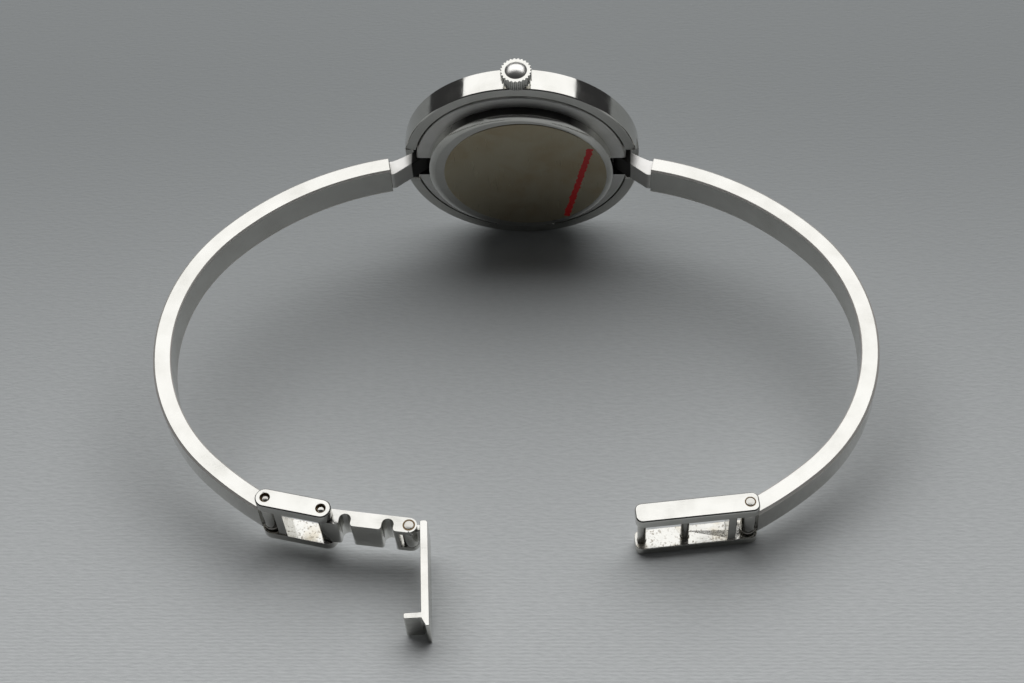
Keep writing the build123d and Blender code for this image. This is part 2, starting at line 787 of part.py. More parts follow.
with BuildPart() as minute_wheel:
    add_wheel(minute_axle, minute_layer_back + motion_thickness, motion_thickness, minute_outline)
    add_wheel(minute_axle, hour_layer_back + motion_thickness,
              hour_layer_back + motion_thickness - minute_layer_back, minute_leaves)
    with BuildSketch(seen_from_back(main_plate_front)):
        with Locations(minute_axle):
            Circle(minute_post_radius + running_gap)
    extrude(amount=motion_recess_depth, mode=Mode.SUBTRACT)
minute_wheel.part.label = "minute_wheel"

hour_hand_back = dial_back + dial_thickness + fine_gap + edge_break / 2
hand_thickness = 0.1
minute_hand_back = hour_hand_back + 2 * hand_thickness

with BuildPart() as hour_wheel:
    add_wheel(centre_axle, hour_layer_back + motion_thickness, motion_thickness, hour_outline)
    add_arbor(centre_axle, hour_hand_back + hand_thickness, hour_layer_back, hour_pipe_radius)
    with BuildSketch(seen_from_back(cannon_front)):
        Circle(hour_pipe_bore)
    extrude(amount=cannon_front, mode=Mode.SUBTRACT)
hour_wheel.part.label = "hour_wheel"

# Dial with its two feet, and twelve plain baton markers.
dial_hole_radius = hour_pipe_radius + running_gap + 3 * fine_gap

with BuildPart() as dial:
    with BuildSketch(seen_from_back(dial_back + dial_thickness)):
        Circle(holder_bore_radius - fine_gap)
        Circle(dial_hole_radius, mode=Mode.SUBTRACT)
    extrude(amount=dial_thickness)
    with BuildSketch(seen_from_back(dial_back)):
        for direction in dial_foot_directions:
            with Locations(along(centre_axle, direction, dial_foot_distance)):
                Circle(dial_foot_radius)
    extrude(amount=dial_foot_length)
dial.part.label = "dial"

marker_length = 1.3
marker_width = 0.24
marker_height = 0.1
marker_inset = 0.35
marker_distance = ledge_radius - marker_inset - marker_length / 2

with BuildPart() as hour_markers:
    with BuildSketch(seen_from_back(dial_back + dial_thickness + marker_height)):
        with PolarLocations(marker_distance, 12):
            Rectangle(marker_length, marker_width)
    extrude(amount=marker_height)
hour_markers.part.label = "hour_markers"

# Hands: plain tapered batons, the hour hand under the minute hand. Twelve o'clock is towards the
# right arm, so that the crown stands at three, and the watch shows ten past ten.
hour_hand_share = 0.548
minute_hand_share = 0.833
hour_hand_length = hour_hand_share * movement_radius
minute_hand_length = minute_hand_share * movement_radius
hand_width = 0.5
hand_tip_width = 0.24
hand_hub_rim = 0.2
hand_hub_radius = hour_pipe_radius + hand_hub_rim
hand_tail = 1.2
hour_hand_heading = 305
minute_hand_heading = 60


def hand_sketch(length, heading):
    """A tapered baton with a short tail and a round hub, seen from the back."""
    with Locations(Location((0, 0), heading)):
        Polygon(
            (-hand_tail, -hand_width / 2),
            (length, -hand_tip_width / 2),
            (length, hand_tip_width / 2),
            (-hand_tail, hand_width / 2),
            align=None,
        )
    Circle(hand_hub_radius)


with BuildPart() as hour_hand:
    with BuildSketch(seen_from_back(hour_hand_back + hand_thickness)):
        hand_sketch(hour_hand_length, hour_hand_heading)
        Circle(hour_pipe_radius, mode=Mode.SUBTRACT)
    extrude(amount=hand_thickness)
hour_hand.part.label = "hour_hand"

with BuildPart() as minute_hand:
    with BuildSketch(seen_from_back(minute_hand_back + hand_thickness)):
        hand_sketch(minute_hand_length, minute_hand_heading)
        Circle(cannon_radius, mode=Mode.SUBTRACT)
    extrude(amount=hand_thickness)
minute_hand.part.label = "minute_hand"

# Stem and crown. The stem turns in the main plate and in the crown tube, and pulls out to set.
stem_inner_end = pinion_window_bottom + 3 * fine_gap
stem_pilot_radius = 0.25
stem_step = pinion_window_top + edge_break
stem_groove_radius = 0.2
stem_groove_width = 0.36
crown_gap = 0.5
crown_base = bezel_radius + crown_gap
crown_height = 1.4
crown_wall = 0.6
crown_cavity_wall = 0.27
crown_cavity_radius = tube_radius + crown_cavity_wall
crown_radius = crown_cavity_radius + crown_wall
crown_roof = 0.3
crown_gasket_height = 0.15
crown_flute_count = 24
crown_flute_depth = 0.13
crown_cap_inset = 0.47
crown_cap_radius = crown_radius - crown_cap_inset
crown_cap_height = 0.48
crown_tube_share = 5 / 7
crown_tube_end = crown_base + crown_tube_share * crown_height
tube_start = back_bore_radius + fine_gap
stem_outer_end = crown_base + crown_height - crown_roof / 2


def seen_from_crown(z):
    """The plane across the stem at height z, with its origin on the stem's axis."""
    return Plane(origin=(0, stem_depth, z), x_dir=(1, 0, 0), z_dir=(0, 0, 1))


with BuildPart() as stem:
    with BuildSketch(seen_from_crown(stem_inner_end)):
        Circle(stem_pilot_radius)
    extrude(amount=stem_step - stem_inner_end)
    with BuildSketch(seen_from_crown(stem_step)):
        Circle(stem_radius)
    extrude(amount=stem_outer_end - stem_step)
    with BuildSketch(seen_from_crown(setting_pin[1] - stem_groove_width / 2)):
        Circle(stem_radius)
        Circle(stem_groove_radius, mode=Mode.SUBTRACT)
    extrude(amount=stem_groove_width, mode=Mode.SUBTRACT)
stem.part.label = "stem"

sliding_teeth = 12
sliding_module = 0.085
sliding_length = 1.0
sliding_bottom = stem_inner_end + edge_break

with BuildPart() as sliding_pinion:
    with BuildSketch(seen_from_crown(sliding_bottom)):
        Polygon(*tooth_points(sliding_teeth, sliding_module, 0), align=None)
        Circle(stem_pilot_radius + running_gap, mode=Mode.SUBTRACT)
    extrude(amount=sliding_length)
sliding_pinion.part.label = "sliding_pinion"

# Setting lever: turns on its post and its pin follows the groove of the stem.
setting_lever_back = main_plate_back - seat_gap - 2 * edge_break
setting_lever_width = 0.7

with BuildPart() as setting_lever:
    lever_run = Vector(*setting_pin) - Vector(*setting_pivot)
    lever_middle = (Vector(*setting_pin) + Vector(*setting_pivot)) / 2
    with BuildSketch(seen_from_back(main_plate_back - seat_gap)):
        turn = degrees(atan2(lever_run.Y, lever_run.X))
        with Locations(Location((lever_middle.X, lever_middle.Y), turn)):
            SlotCenterToCenter(lever_run.length, setting_lever_width)
        with Locations(setting_pivot):
            Circle(setting_post_radius + running_gap, mode=Mode.SUBTRACT)
    extrude(amount=2 * edge_break)
    with BuildSketch(seen_from_back(stem_depth - fine_gap)):
        with Locations(setting_pin):
            Circle(setting_pin_radius)
    extrude(amount=stem_depth - fine_gap - setting_lever_back)
setting_lever.part.label = "setting_lever"

# Crown tube, pressed into the case middle and showing as a collar under the crown.
with BuildPart() as crown_tube:
    with BuildSketch(seen_from_crown(tube_start)):
        Circle(tube_radius)
        Circle(tube_bore_radius, mode=Mode.SUBTRACT)
    extrude(amount=crown_tube_end - tube_start)
crown_tube.part.label = "crown_tube"

# Crown: fluted round its edge, hollow below for the tube and bored for the stem.
with BuildPart() as crown:
    with BuildSketch(seen_from_crown(crown_base)):
        Circle(crown_radius)
        with PolarLocations(crown_radius, crown_flute_count):
            Circle(crown_flute_depth, mode=Mode.SUBTRACT)
    extrude(amount=crown_height)
    with BuildSketch(seen_from_crown(crown_base)):
        Circle(crown_cavity_radius)
    extrude(amount=crown_height - crown_roof, mode=Mode.SUBTRACT)
    with BuildSketch(seen_from_crown(crown_base)):
        Circle(stem_radius)
    extrude(amount=stem_outer_end - crown_base, mode=Mode.SUBTRACT)
crown.part.label = "crown"

# Crown cap: the polished dome on the crown's end.
with BuildPart() as crown_cap:
    cap_sphere_radius = (crown_cap_radius**2 + crown_cap_height**2) / (2 * crown_cap_height)
    with BuildSketch(Plane.XZ.offset(-stem_depth)):
        with BuildLine():
            foot = crown_base + crown_height
            Line((0, foot + crown_cap_height), (0, foot))
            Line((0, foot), (crown_cap_radius, foot))
            RadiusArc((crown_cap_radius, foot), (0, foot + crown_cap_height), -cap_sphere_radius)
        make_face()
    revolve(axis=Axis((0, stem_depth, 0), (0, 0, 1)))
crown_cap.part.label = "crown_cap"

# Crown gasket: the ring inside the crown that seals on the tube.
with BuildPart() as crown_gasket:
    with BuildSketch(seen_from_crown(crown_base + fine_gap)):
        Circle(crown_cavity_radius)
        Circle(tube_radius + seat_gap, mode=Mode.SUBTRACT)
    extrude(amount=crown_gasket_height)
crown_gasket.part.label = "crown_gasket"


def add_arm_pin(side):
    """The round pin on which one arm turns, fixed in the case middle across its slot."""
    with BuildSketch(Plane.XY.offset(-arm_pin_half_length)) as round_face:
        with Locations((side * arm_pin_x, arm_pin_y)):
            Circle(arm_pin_radius)
    extrude(round_face.sketch, amount=2 * arm_pin_half_length)


with BuildPart() as left_arm_pin:
    add_arm_pin(-1)
left_arm_pin.part.label = "left_arm_pin"

with BuildPart() as right_arm_pin:
    add_arm_pin(1)
right_arm_pin.part.label = "right_arm_pin"

# Neck of an arm: a low curved tongue with the hinge barrel at one end and a collar at the other.
neck_barrel_radius = 0.66
neck_bow_radius = 12.0
neck_collar_length = 0.45
neck_lean = 10.0


def neck_outline():
    """The neck of the right arm, seen from above: slightly bowed outside, straight inside."""
    barrel = (arm_pin_x, arm_pin_y)
    outer_seam = along((seam_x, seam_y), seam_heading + 90, band_thickness / 2)
    inner_seam = along((seam_x, seam_y), seam_heading - 90, band_thickness / 2)
    outer_collar = along(outer_seam, seam_heading, -neck_collar_length)
    inner_collar = along(inner_seam, seam_heading, -neck_collar_length)
    run = (outer_collar[0] - barrel[0], outer_collar[1] - barrel[1])
    reach_heading = degrees(atan2(run[1], run[0]))
    outer_barrel = along(barrel, reach_heading + 90 - neck_lean, neck_barrel_radius)
    inner_barrel = along(barrel, reach_heading - 90 - 2 * neck_lean, neck_barrel_radius)
    Line(inner_seam, outer_seam)
    Line(outer_seam, outer_collar)
    RadiusArc(outer_collar, outer_barrel, neck_bow_radius)
    Line(outer_barrel, inner_barrel)
    Line(inner_barrel, inner_collar)
    Line(inner_collar, inner_seam)


def add_neck(side):
    """One neck; the left one is the right one's mirror image."""
    with BuildSketch(Plane.XY.offset(-neck_drop - neck_height / 2)) as flat_neck:
        with BuildLine():
            neck_outline()
        make_face()
        with Locations((arm_pin_x, arm_pin_y)):
            Circle(neck_barrel_radius)
        with Locations((arm_pin_x, arm_pin_y)):
            Circle(arm_pin_radius + running_gap, mode=Mode.SUBTRACT)
        if side < 0:
            mirror(about=Plane.YZ, mode=Mode.REPLACE)
    extrude(flat_neck.sketch, amount=neck_height)


with BuildPart() as left_neck:
    add_neck(-1)
left_neck.part.label = "left_neck"

with BuildPart() as right_neck:
    add_neck(1)
right_neck.part.label = "right_neck"

# Band of an arm: a flat steel bar on edge, bevelled along its edges, that ends on its clasp pin.
band_outer_bevel = 0.22
band_inner_bevel = 0.12
band_barrel_radius = 0.8
band_barrel_reach = 0.5
arc_radii = (shoulder_radius, side_radius, heel_radius)
arc_turns = (shoulder_turn, side_turn, heel_turn)


def walk_arcs(start, heading, radii, turns):
    """Where a chain of clockwise tangent arcs ends, and its heading there."""
    point = start
    for radius, turn in zip(radii, turns):
        centre = along(point, heading - 90, radius)
        heading = heading - turn
        point = along(centre, heading + 90, radius)
    return point, heading


band_end, band_end_heading = walk_arcs((seam_x, seam_y), seam_heading, arc_radii, arc_turns)
band_pin = along(band_end, band_end_heading, band_barrel_reach)


def band_outline():
    """The right band seen from above: the same three arcs, half a thickness to each side."""
    half = band_thickness / 2
    outer = along((seam_x, seam_y), seam_heading + 90, half)
    inner = along((seam_x, seam_y), seam_heading - 90, half)
    Line(inner, outer)
    for start, offset in ((outer, half), (inner, -half)):
        heading = seam_heading
        point = start
        for radius, turn in zip(arc_radii, arc_turns):
            tangent = along((0, 0), heading, 1)
            JernArc(point, tangent, radius + offset, -turn)
            point, heading = walk_arcs(point, heading, (radius + offset,), (turn,))
    Line(along(band_end, band_end_heading + 90, half), along(band_end, band_end_heading - 90, half))


def add_band(side):
    """One band with its bevels and its barrel; the left one is the right one's mirror image."""
    with BuildSketch(Plane.XY.offset(-band_height / 2)) as flat_band:
        with BuildLine():
            band_outline()
        make_face()
        if side < 0:
            mirror(about=Plane.YZ, mode=Mode.REPLACE)
    extrude(flat_band.sketch, amount=band_height)


def is_outer(edge):
    """Whether a flat curved edge lies on the outside of the band, by its radius."""
    return any(abs(edge.radius - radius - band_thickness / 2) < seat_gap for radius in arc_radii)


def add_band_bevels(builder):
    """Bevels along the band's long edges, wider outside than inside."""
    curved = builder.edges().filter_by(GeomType.CIRCLE)
    chamfer(curved.filter_by(is_outer), band_outer_bevel)
    curved = builder.edges().filter_by(GeomType.CIRCLE)
    inner = curved.filter_by(
        lambda edge: any(abs(edge.radius - radius + band_thickness / 2) < seat_gap
                         for radius in arc_radii)
    )
    chamfer(inner, band_inner_bevel)


def add_band_barrel(side):
    """The round end that turns on the clasp pin, with the pin's bore."""
    with BuildSketch(Plane.XY.offset(-band_height / 2)) as barrel:
        with Locations((side * band_pin[0], band_pin[1])):
            Circle(band_barrel_radius)
    extrude(barrel.sketch, amount=band_height)
    with BuildSketch(Plane.XY.offset(-band_height / 2)) as bore:
        with Locations((side * band_pin[0], band_pin[1])):
            Circle(clasp_pin_radius + running_gap)
    extrude(bore.sketch, amount=band_height, mode=Mode.SUBTRACT)


with BuildPart() as left_band:
    add_band(-1)
    add_band_bevels(left_band)
    add_band_barrel(-1)
left_band.part.label = "left_band"

with BuildPart() as right_band:
    add_band(1)
    add_band_bevels(right_band)
    add_band_barrel(1)
right_band.part.label = "right_band"

# Link frame: two rounded side plates and a bridge, from the left band to the hook blade.
left_pin = (-band_pin[0], band_pin[1])
right_pin = band_pin
plate_top = clasp_height / 2
plate_inner = plate_top - plate_thickness
link_bridge_near = 0.95
link_bridge_width = 0.85
plate_edge = 0.12
pin_hole_radius = 0.52
pin_sink = 0.35

with BuildPart() as link_frame:
    for bottom in (-plate_top, plate_inner):
        with BuildSketch(pin_plane(left_pin, link_heading, bottom)):
            with Locations((link_pitch / 2, 0)):
                SlotCenterToCenter(link_pitch, 2 * plate_radius)
        extrude(amount=plate_thickness)
    outer_rims = link_frame.edges().filter_by(
        lambda edge: abs(abs(edge.center().Z) - plate_top) < seat_gap
    )
    chamfer(outer_rims, plate_edge)
    with BuildSketch(pin_plane(left_pin, link_heading, -plate_inner)):
        with Locations((link_bridge_near + link_bridge_width / 2, 0)):
            Rectangle(link_bridge_width, 2 * plate_radius - 2 * edge_break)
    extrude(amount=2 * plate_inner)
    with BuildSketch(pin_plane(left_pin, link_heading, -plate_top)):
        with Locations((0, 0), (link_pitch, 0)):
            Circle(clasp_pin_radius)
    extrude(amount=clasp_height, mode=Mode.SUBTRACT)
    for bottom in (-plate_top, plate_top - pin_sink):
        with BuildSketch(pin_plane(left_pin, link_heading, bottom)):
            with Locations((0, 0), (link_pitch, 0)):
                Circle(pin_hole_radius)
        extrude(amount=pin_sink, mode=Mode.SUBTRACT)
link_frame.part.label = "link_frame"

link_pin = along(left_pin, link_heading, link_pitch)


def add_pin(point, half_length, radius):
    """A straight clasp pin with softly rounded ends."""
    with BuildSketch(Plane.XY.offset(-half_length)) as round_face:
        with Locations(point):
            Circle(radius)
    extrude(round_face.sketch, amount=2 * half_length)


sunk_pin_half_length = plate_top - pin_sink
with BuildPart() as left_band_pin:
    add_pin(left_pin, sunk_pin_half_length, clasp_pin_radius)
    fillet(left_band_pin.edges().filter_by(GeomType.CIRCLE), edge_break)
left_band_pin.part.label = "left_band_pin"

with BuildPart() as link_blade_pin:
    add_pin(link_pin, sunk_pin_half_length, clasp_pin_radius)
    fillet(link_blade_pin.edges().filter_by(GeomType.CIRCLE), edge_break)
link_blade_pin.part.label = "link_blade_pin"

# Hook blade: a flat bar on edge with two notches that drop over the receiver's cross pins.
blade_back_half_width = 0.8
blade_front_half_width = 0.82
blade_barrel_radius = 0.6
blade_tip_radius = 0.8
notch_radius = 0.6
notch_depth_line = -0.16
blade_corner_round = 0.3
ear_thickness = 0.68
ear_start = 0.95
lever_pin_radius = 0.48
blade_edge = 0.1

with BuildPart() as hook_blade:
    blade_bottom = -blade_height / 2
    with BuildSketch(pin_plane(link_pin, blade_heading, blade_bottom)):
        Circle(blade_barrel_radius)
        with BuildLine():
            Polyline(
                (0, blade_barrel_radius),
                (blade_barrel_radius, blade_back_half_width),
                (blade_pitch, blade_back_half_width),
                (blade_pitch, -blade_front_half_width),
                (blade_barrel_radius + blade_edge, -blade_front_half_width),
                (0, -blade_barrel_radius),
                close=True,
            )
        make_face()
        with Locations((blade_pitch, 0)):
            Circle(blade_tip_radius)
        for place in (first_notch_place, first_notch_place + cross_pin_pitch):
            with Locations((place, notch_depth_line)):
                Circle(notch_radius, mode=Mode.SUBTRACT)
            with Locations((place, notch_depth_line - overrun / 2)):
                Rectangle(2 * notch_radius, overrun, mode=Mode.SUBTRACT)
    extrude(amount=blade_height)
    with BuildSketch(pin_plane(link_pin, blade_heading, -blade_height / 2 + ear_thickness)):
        with Locations((blade_pitch - ear_start + overrun, 0)):
            Rectangle(2 * overrun, 2 * overrun)
    extrude(amount=blade_height - 2 * ear_thickness, mode=Mode.SUBTRACT)
    with BuildSketch(pin_plane(link_pin, blade_heading, blade_bottom)):
        Circle(clasp_pin_radius + running_gap)
        with Locations((blade_pitch, 0)):
            Circle(lever_pin_radius)
    extrude(amount=blade_height, mode=Mode.SUBTRACT)
    blade_frame = pin_plane(link_pin, blade_heading, 0)
    last_notch_end = first_notch_place + cross_pin_pitch + notch_radius
    notch_mouths = hook_blade.edges().filter_by(
        lambda edge: abs(blade_frame.to_local_coords(edge.center()).Y + blade_front_half_width)
        < seat_gap
        and abs(blade_frame.to_local_coords(edge.center()).Z) < seat_gap
        and blade_barrel_radius + 2 * blade_edge
        < blade_frame.to_local_coords(edge.center()).X
        < last_notch_end + seat_gap
        and edge.length > blade_height - seat_gap
    )
    fillet(notch_mouths, blade_corner_round)
hook_blade.part.label = "hook_blade"

lever_pivot = along(link_pin, blade_heading, blade_pitch)

with BuildPart() as lever_pin:
    add_pin(lever_pivot, blade_height / 2, lever_pin_radius)
lever_pin.part.label = "lever_pin"

# Clasp lever: a narrow plate that folds over the closed clasp, with a lug that snaps in behind
# the blade's barrel, a bevelled finger tip and a knuckle on the lever pin.
lever_offset = 1.06
lever_upper_end = 0.5
lug_place = 9.35
lug_thickness = 0.62
lug_depth = 1.7
tip_thickness = 0.35
knuckle_radius = 0.8
knuckle_height = blade_height - 2 * ear_thickness - 2 * fine_gap
web_half_width = 0.4

with BuildPart() as clasp_lever:
    outer_face = lever_offset + lever_thickness
    with BuildSketch(pin_plane(lever_pivot, lever_heading, -lever_height / 2)):
        with BuildLine():
            Polyline(
                (-lever_upper_end, lever_offset + edge_break),
                (-lever_upper_end + edge_break, lever_offset),
                (lug_place, lever_offset),
                (lug_place, lever_offset - lug_depth + edge_break),
                (lug_place + edge_break, lever_offset - lug_depth),
                (lug_place + lug_thickness - edge_break, lever_offset - lug_depth),
                (lug_place + lug_thickness, lever_offset - lug_depth + edge_break),
                (lug_place + lug_thickness, lever_offset),
                (lever_length, outer_face - tip_thickness),
                (lever_length, outer_face),
                (-lever_upper_end + 2 * edge_break, outer_face),
                (-lever_upper_end, outer_face - 2 * edge_break),
                close=True,
            )
        make_face()
    extrude(amount=lever_height)
    with BuildSketch(pin_plane(lever_pivot, lever_heading, -knuckle_height / 2)):
        Circle(knuckle_radius)
        with Locations((0, (lever_offset + edge_break) / 2)):
            Rectangle(2 * web_half_width, lever_offset + edge_break)
    extrude(amount=knuckle_height)
    with BuildSketch(pin_plane(lever_pivot, lever_heading, -knuckle_height / 2)):
        Circle(lever_pin_radius + running_gap)
    extrude(amount=knuckle_height, mode=Mode.SUBTRACT)
clasp_lever.part.label = "clasp_lever"

# Receiver frame: two long plates and a bridge on the right band, crossed by the two pins that
# the blade's notches take.
receiver_half_width = 1.08
receiver_heel = 0.9
receiver_toe = 0.68
receiver_heel_round = 0.7
receiver_bridge_near = 1.35
receiver_bridge_width = 0.8
cross_pin_radius = 0.43

with BuildPart() as receiver_frame:
    plate_length = receiver_heel + receiver_reach + receiver_toe
    for bottom in (-plate_top, plate_inner):
        with BuildSketch(pin_plane(right_pin, receiver_heading, bottom)):
            with Locations((plate_length / 2 - receiver_heel, 0)):
                RectangleRounded(plate_length, 2 * receiver_half_width, receiver_heel_round)
            with Locations((receiver_reach - receiver_half_width + receiver_toe, 0)):
                Circle(receiver_half_width)
        extrude(amount=plate_thickness)
    outer_rims = receiver_frame.edges().filter_by(
        lambda edge: abs(abs(edge.center().Z) - plate_top) < seat_gap
    )
    chamfer(outer_rims, plate_edge)
    with BuildSketch(pin_plane(right_pin, receiver_heading, -plate_inner)):
        with Locations((receiver_bridge_near + receiver_bridge_width / 2, 0)):
            Rectangle(receiver_bridge_width, 2 * receiver_half_width - 2 * edge_break)
    extrude(amount=2 * plate_inner)
    with BuildSketch(pin_plane(right_pin, receiver_heading, -plate_top)):
        Circle(clasp_pin_radius)
    extrude(amount=clasp_height, mode=Mode.SUBTRACT)
    with BuildSketch(pin_plane(right_pin, receiver_heading, -plate_top + plate_thickness / 2)):
        with Locations((receiver_reach, 0), (receiver_reach - cross_pin_pitch, 0)):
            Circle(cross_pin_radius)
    extrude(amount=clasp_height - plate_thickness, mode=Mode.SUBTRACT)
receiver_frame.part.label = "receiver_frame"

with BuildPart() as right_band_pin:
    add_pin(right_pin, plate_top, clasp_pin_radius)
right_band_pin.part.label = "right_band_pin"

cross_pin_half_length = plate_top - plate_thickness / 2

with BuildPart() as end_cross_pin:
    end_place = along(right_pin, receiver_heading, receiver_reach)
    add_pin(end_place, cross_pin_half_length, cross_pin_radius)
end_cross_pin.part.label = "end_cross_pin"

with BuildPart() as inner_cross_pin:
    inner_place = along(right_pin, receiver_heading, receiver_reach - cross_pin_pitch)
    add_pin(inner_place, cross_pin_half_length, cross_pin_radius)
inner_cross_pin.part.label = "inner_cross_pin"

pieces = (
    case_middle, bezel_ring, case_back, back_film, back_gasket, crystal, crystal_gasket,
    movement_holder, main_plate, train_bridge, train_jewels, bridge_screws, board_screws,
    battery, battery_clamp, circuit_board, timing_chip, quartz_can, coil_core, coil, stator,
    rotor, intermediate_wheel, third_wheel, centre_wheel, cannon_pinion, minute_wheel,
    hour_wheel, dial, hour_markers, hour_hand, minute_hand, stem, sliding_pinion,
    setting_lever, crown_tube, crown, crown_cap, crown_gasket, left_arm_pin, right_arm_pin,
    left_neck, right_neck, left_band, right_band, left_band_pin, link_frame, link_blade_pin,
    hook_blade, lever_pin, clasp_lever, receiver_frame, right_band_pin, end_cross_pin,
    inner_cross_pin,
)

# How the watch lies: a plane on the lever's tip, the receiver's heel and the rim of the bezel.
lever_tip_plane = pin_plane(lever_pivot, lever_heading, -lever_height / 2)
lever_corner = lever_tip_plane.from_local_coords(Vector(lever_length, outer_face, 0))
heel_plane = pin_plane(right_pin, receiver_heading, -plate_top)
heel_corner = heel_plane.from_local_coords(
    Vector(receiver_heel_round - receiver_heel, receiver_half_width - plate_edge, 0)
)
table_normal = Vector(0, 0, 1)
for step in range(20):
    share = bezel_radius / hypot(table_normal.X, table_normal.Z)
    rim_depth = bezel_back + bezel_back_bevel
    rim_point = Vector(-share * table_normal.X, rim_depth, -share * table_normal.Z)
    table_normal = (heel_corner - rim_point).cross(lever_corner - rim_point).normalized()
    if table_normal.Z < 0:
        table_normal = -table_normal
table = Plane(origin=(0, 0, 0), x_dir=Vector(1, 0, -table_normal.X / table_normal.Z),
              z_dir=table_normal)
as_it_lies = table.location.inverse()

for piece in pieces:
    piece.part.move(as_it_lies)
boxes = [piece.part.bounding_box() for piece in pieces]
left_side = min(box.min.X for box in boxes)
right_side = max(box.max.X for box in boxes)
near_side = min(box.min.Y for box in boxes)
far_side = max(box.max.Y for box in boxes)
lowest = min(box.min.Z for box in boxes)
footing = Location((-(left_side + right_side) / 2, -(near_side + far_side) / 2, -lowest))

os.makedirs("parts", exist_ok=True)
for piece in pieces:
    piece.part.move(footing)
    export_step(piece.part, f"parts/{piece.part.label}.step")
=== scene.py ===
# %% [markdown]
# A bangle watch lies open on a table with its dial turned away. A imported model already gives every
# part its real size and place, so this file gives the parts their eased edges, their finishes and
# the light that polished steel needs. It is a lesson in dressing an engineering model.
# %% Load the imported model
import json
from math import cos, pi, radians, sin

import bmesh
import bpy
from mathutils import Matrix, Vector


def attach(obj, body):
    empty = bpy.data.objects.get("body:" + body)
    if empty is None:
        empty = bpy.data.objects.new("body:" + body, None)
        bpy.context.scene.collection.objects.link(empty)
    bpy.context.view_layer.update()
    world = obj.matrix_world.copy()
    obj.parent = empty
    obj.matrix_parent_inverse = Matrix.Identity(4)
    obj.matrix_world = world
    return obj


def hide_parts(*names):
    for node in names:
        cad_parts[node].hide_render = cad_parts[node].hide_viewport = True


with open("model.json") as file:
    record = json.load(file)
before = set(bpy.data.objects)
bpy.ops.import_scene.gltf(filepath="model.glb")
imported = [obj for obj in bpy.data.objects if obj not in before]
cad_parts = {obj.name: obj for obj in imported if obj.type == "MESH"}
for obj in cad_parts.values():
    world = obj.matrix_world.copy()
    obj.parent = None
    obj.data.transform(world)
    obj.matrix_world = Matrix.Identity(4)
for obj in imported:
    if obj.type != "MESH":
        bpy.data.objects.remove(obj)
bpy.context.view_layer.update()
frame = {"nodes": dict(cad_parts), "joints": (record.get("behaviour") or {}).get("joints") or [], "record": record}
nodes = frame["nodes"]
for stand_in in list(bpy.data.materials):
    bpy.data.materials.remove(stand_in)
body_of_node = {
    node: body
    for body, members in frame["record"]["behaviour"]["bodies"].items()
    for node in members
}
slot_of_node = {part["node"]: part["material_slot"] for part in frame["record"]["subparts"]}
print("parts in the model:", len(nodes))

# %% [markdown]
# Sizes on a bangle are simplest in its own frame: X crosses the wrist, Y runs along the case's axis
# towards the dial, and Z goes up through the crown. The model lies tilted on the table, so that
# frame is found from the two hinges of the arms, which lie on one line across the case.
# %% The bangle's own frame
mm = 0.001
hinge_depth = 0.95
joints = {joint["name"]: joint for joint in frame["joints"]}
left_hinge = Vector(joints["left_arm_hinge"]["pos_m"])
right_hinge = Vector(joints["right_arm_hinge"]["pos_m"])
up = Vector(joints["right_arm_hinge"]["axis"]).normalized()
across = (right_hinge - left_hinge).normalized()
front = up.cross(across)
centre = (left_hinge + right_hinge) / 2 - front * hinge_depth * mm
bangle = Matrix.Translation(centre) @ Matrix((across, front, up)).transposed().to_4x4()
bangle_mm = bangle @ Matrix.Scale(mm, 4)
print("centre of the bangle in metres:", tuple(round(value, 4) for value in centre))

# %% [markdown]
# The camera stands where the photographer stood. A camera's matrix holds its own right, up and
# backward directions as columns, so a view that was measured from a photograph can be written
# down directly. Depth of field stays off, so that the camera can move round the model.
# %% Camera
camera_place = (11.5025, -134.4988, 177.1905)
camera_right = (0.998416, 0.0336549, -0.0450878)
camera_up = (-0.0044997, 0.8465671, 0.532263)
camera_back = (0.0560831, -0.531217, 0.8453776)
focal_pixels = 2000
photo_width = 1024
sensor_width = 36
nearest_seen = 5
camera_data = bpy.data.cameras.new("camera")
camera_data.sensor_width = sensor_width
camera_data.lens = focal_pixels / photo_width * sensor_width
camera_data.clip_start = nearest_seen * mm
camera = bpy.data.objects.new("camera", camera_data)
bpy.context.scene.collection.objects.link(camera)
camera_turn = Matrix((camera_right, camera_up, camera_back)).transposed().to_4x4()
camera.matrix_world = bangle @ Matrix.Translation(Vector(camera_place) * mm) @ camera_turn
bpy.context.scene.camera = camera
print("camera height over the table, mm:", round(camera.matrix_world.translation.z / mm))

# %% [markdown]
# A finish on metal is mostly in what it reflects and how sharply. Each material below starts from
# Blender's Principled shader, and small patterns vary its colour, its roughness and its bump.
# The patterns read Object coordinates, turned into the bangle's frame and scaled to millimetres, so
# that a number such as 2 means two features for each millimetre and a direction follows the watch.
# %% The place that patterns read
row_to_bangle = bangle_mm.inverted()


def new_finish(name):
    """The node tree and the shader of a new material."""
    material = bpy.data.materials.new(name)
    material.use_nodes = True
    return material.node_tree, material.node_tree.nodes["Principled BSDF"]


def mapped(tree, place, move=(0, 0, 0), turn=(0, 0, 0), stretch=(1, 1, 1)):
    """A place stretched along each axis, turned by angles in radians, and moved."""
    mapping = tree.nodes.new("ShaderNodeMapping")
    mapping.inputs["Location"].default_value = move
    mapping.inputs["Rotation"].default_value = turn
    mapping.inputs["Scale"].default_value = stretch
    tree.links.new(place, mapping.inputs["Vector"])
    return mapping.outputs["Vector"]


def object_place(tree):
    """The place on the piece in metres, along the object's axes."""
    return tree.nodes.new("ShaderNodeTexCoord").outputs["Object"]


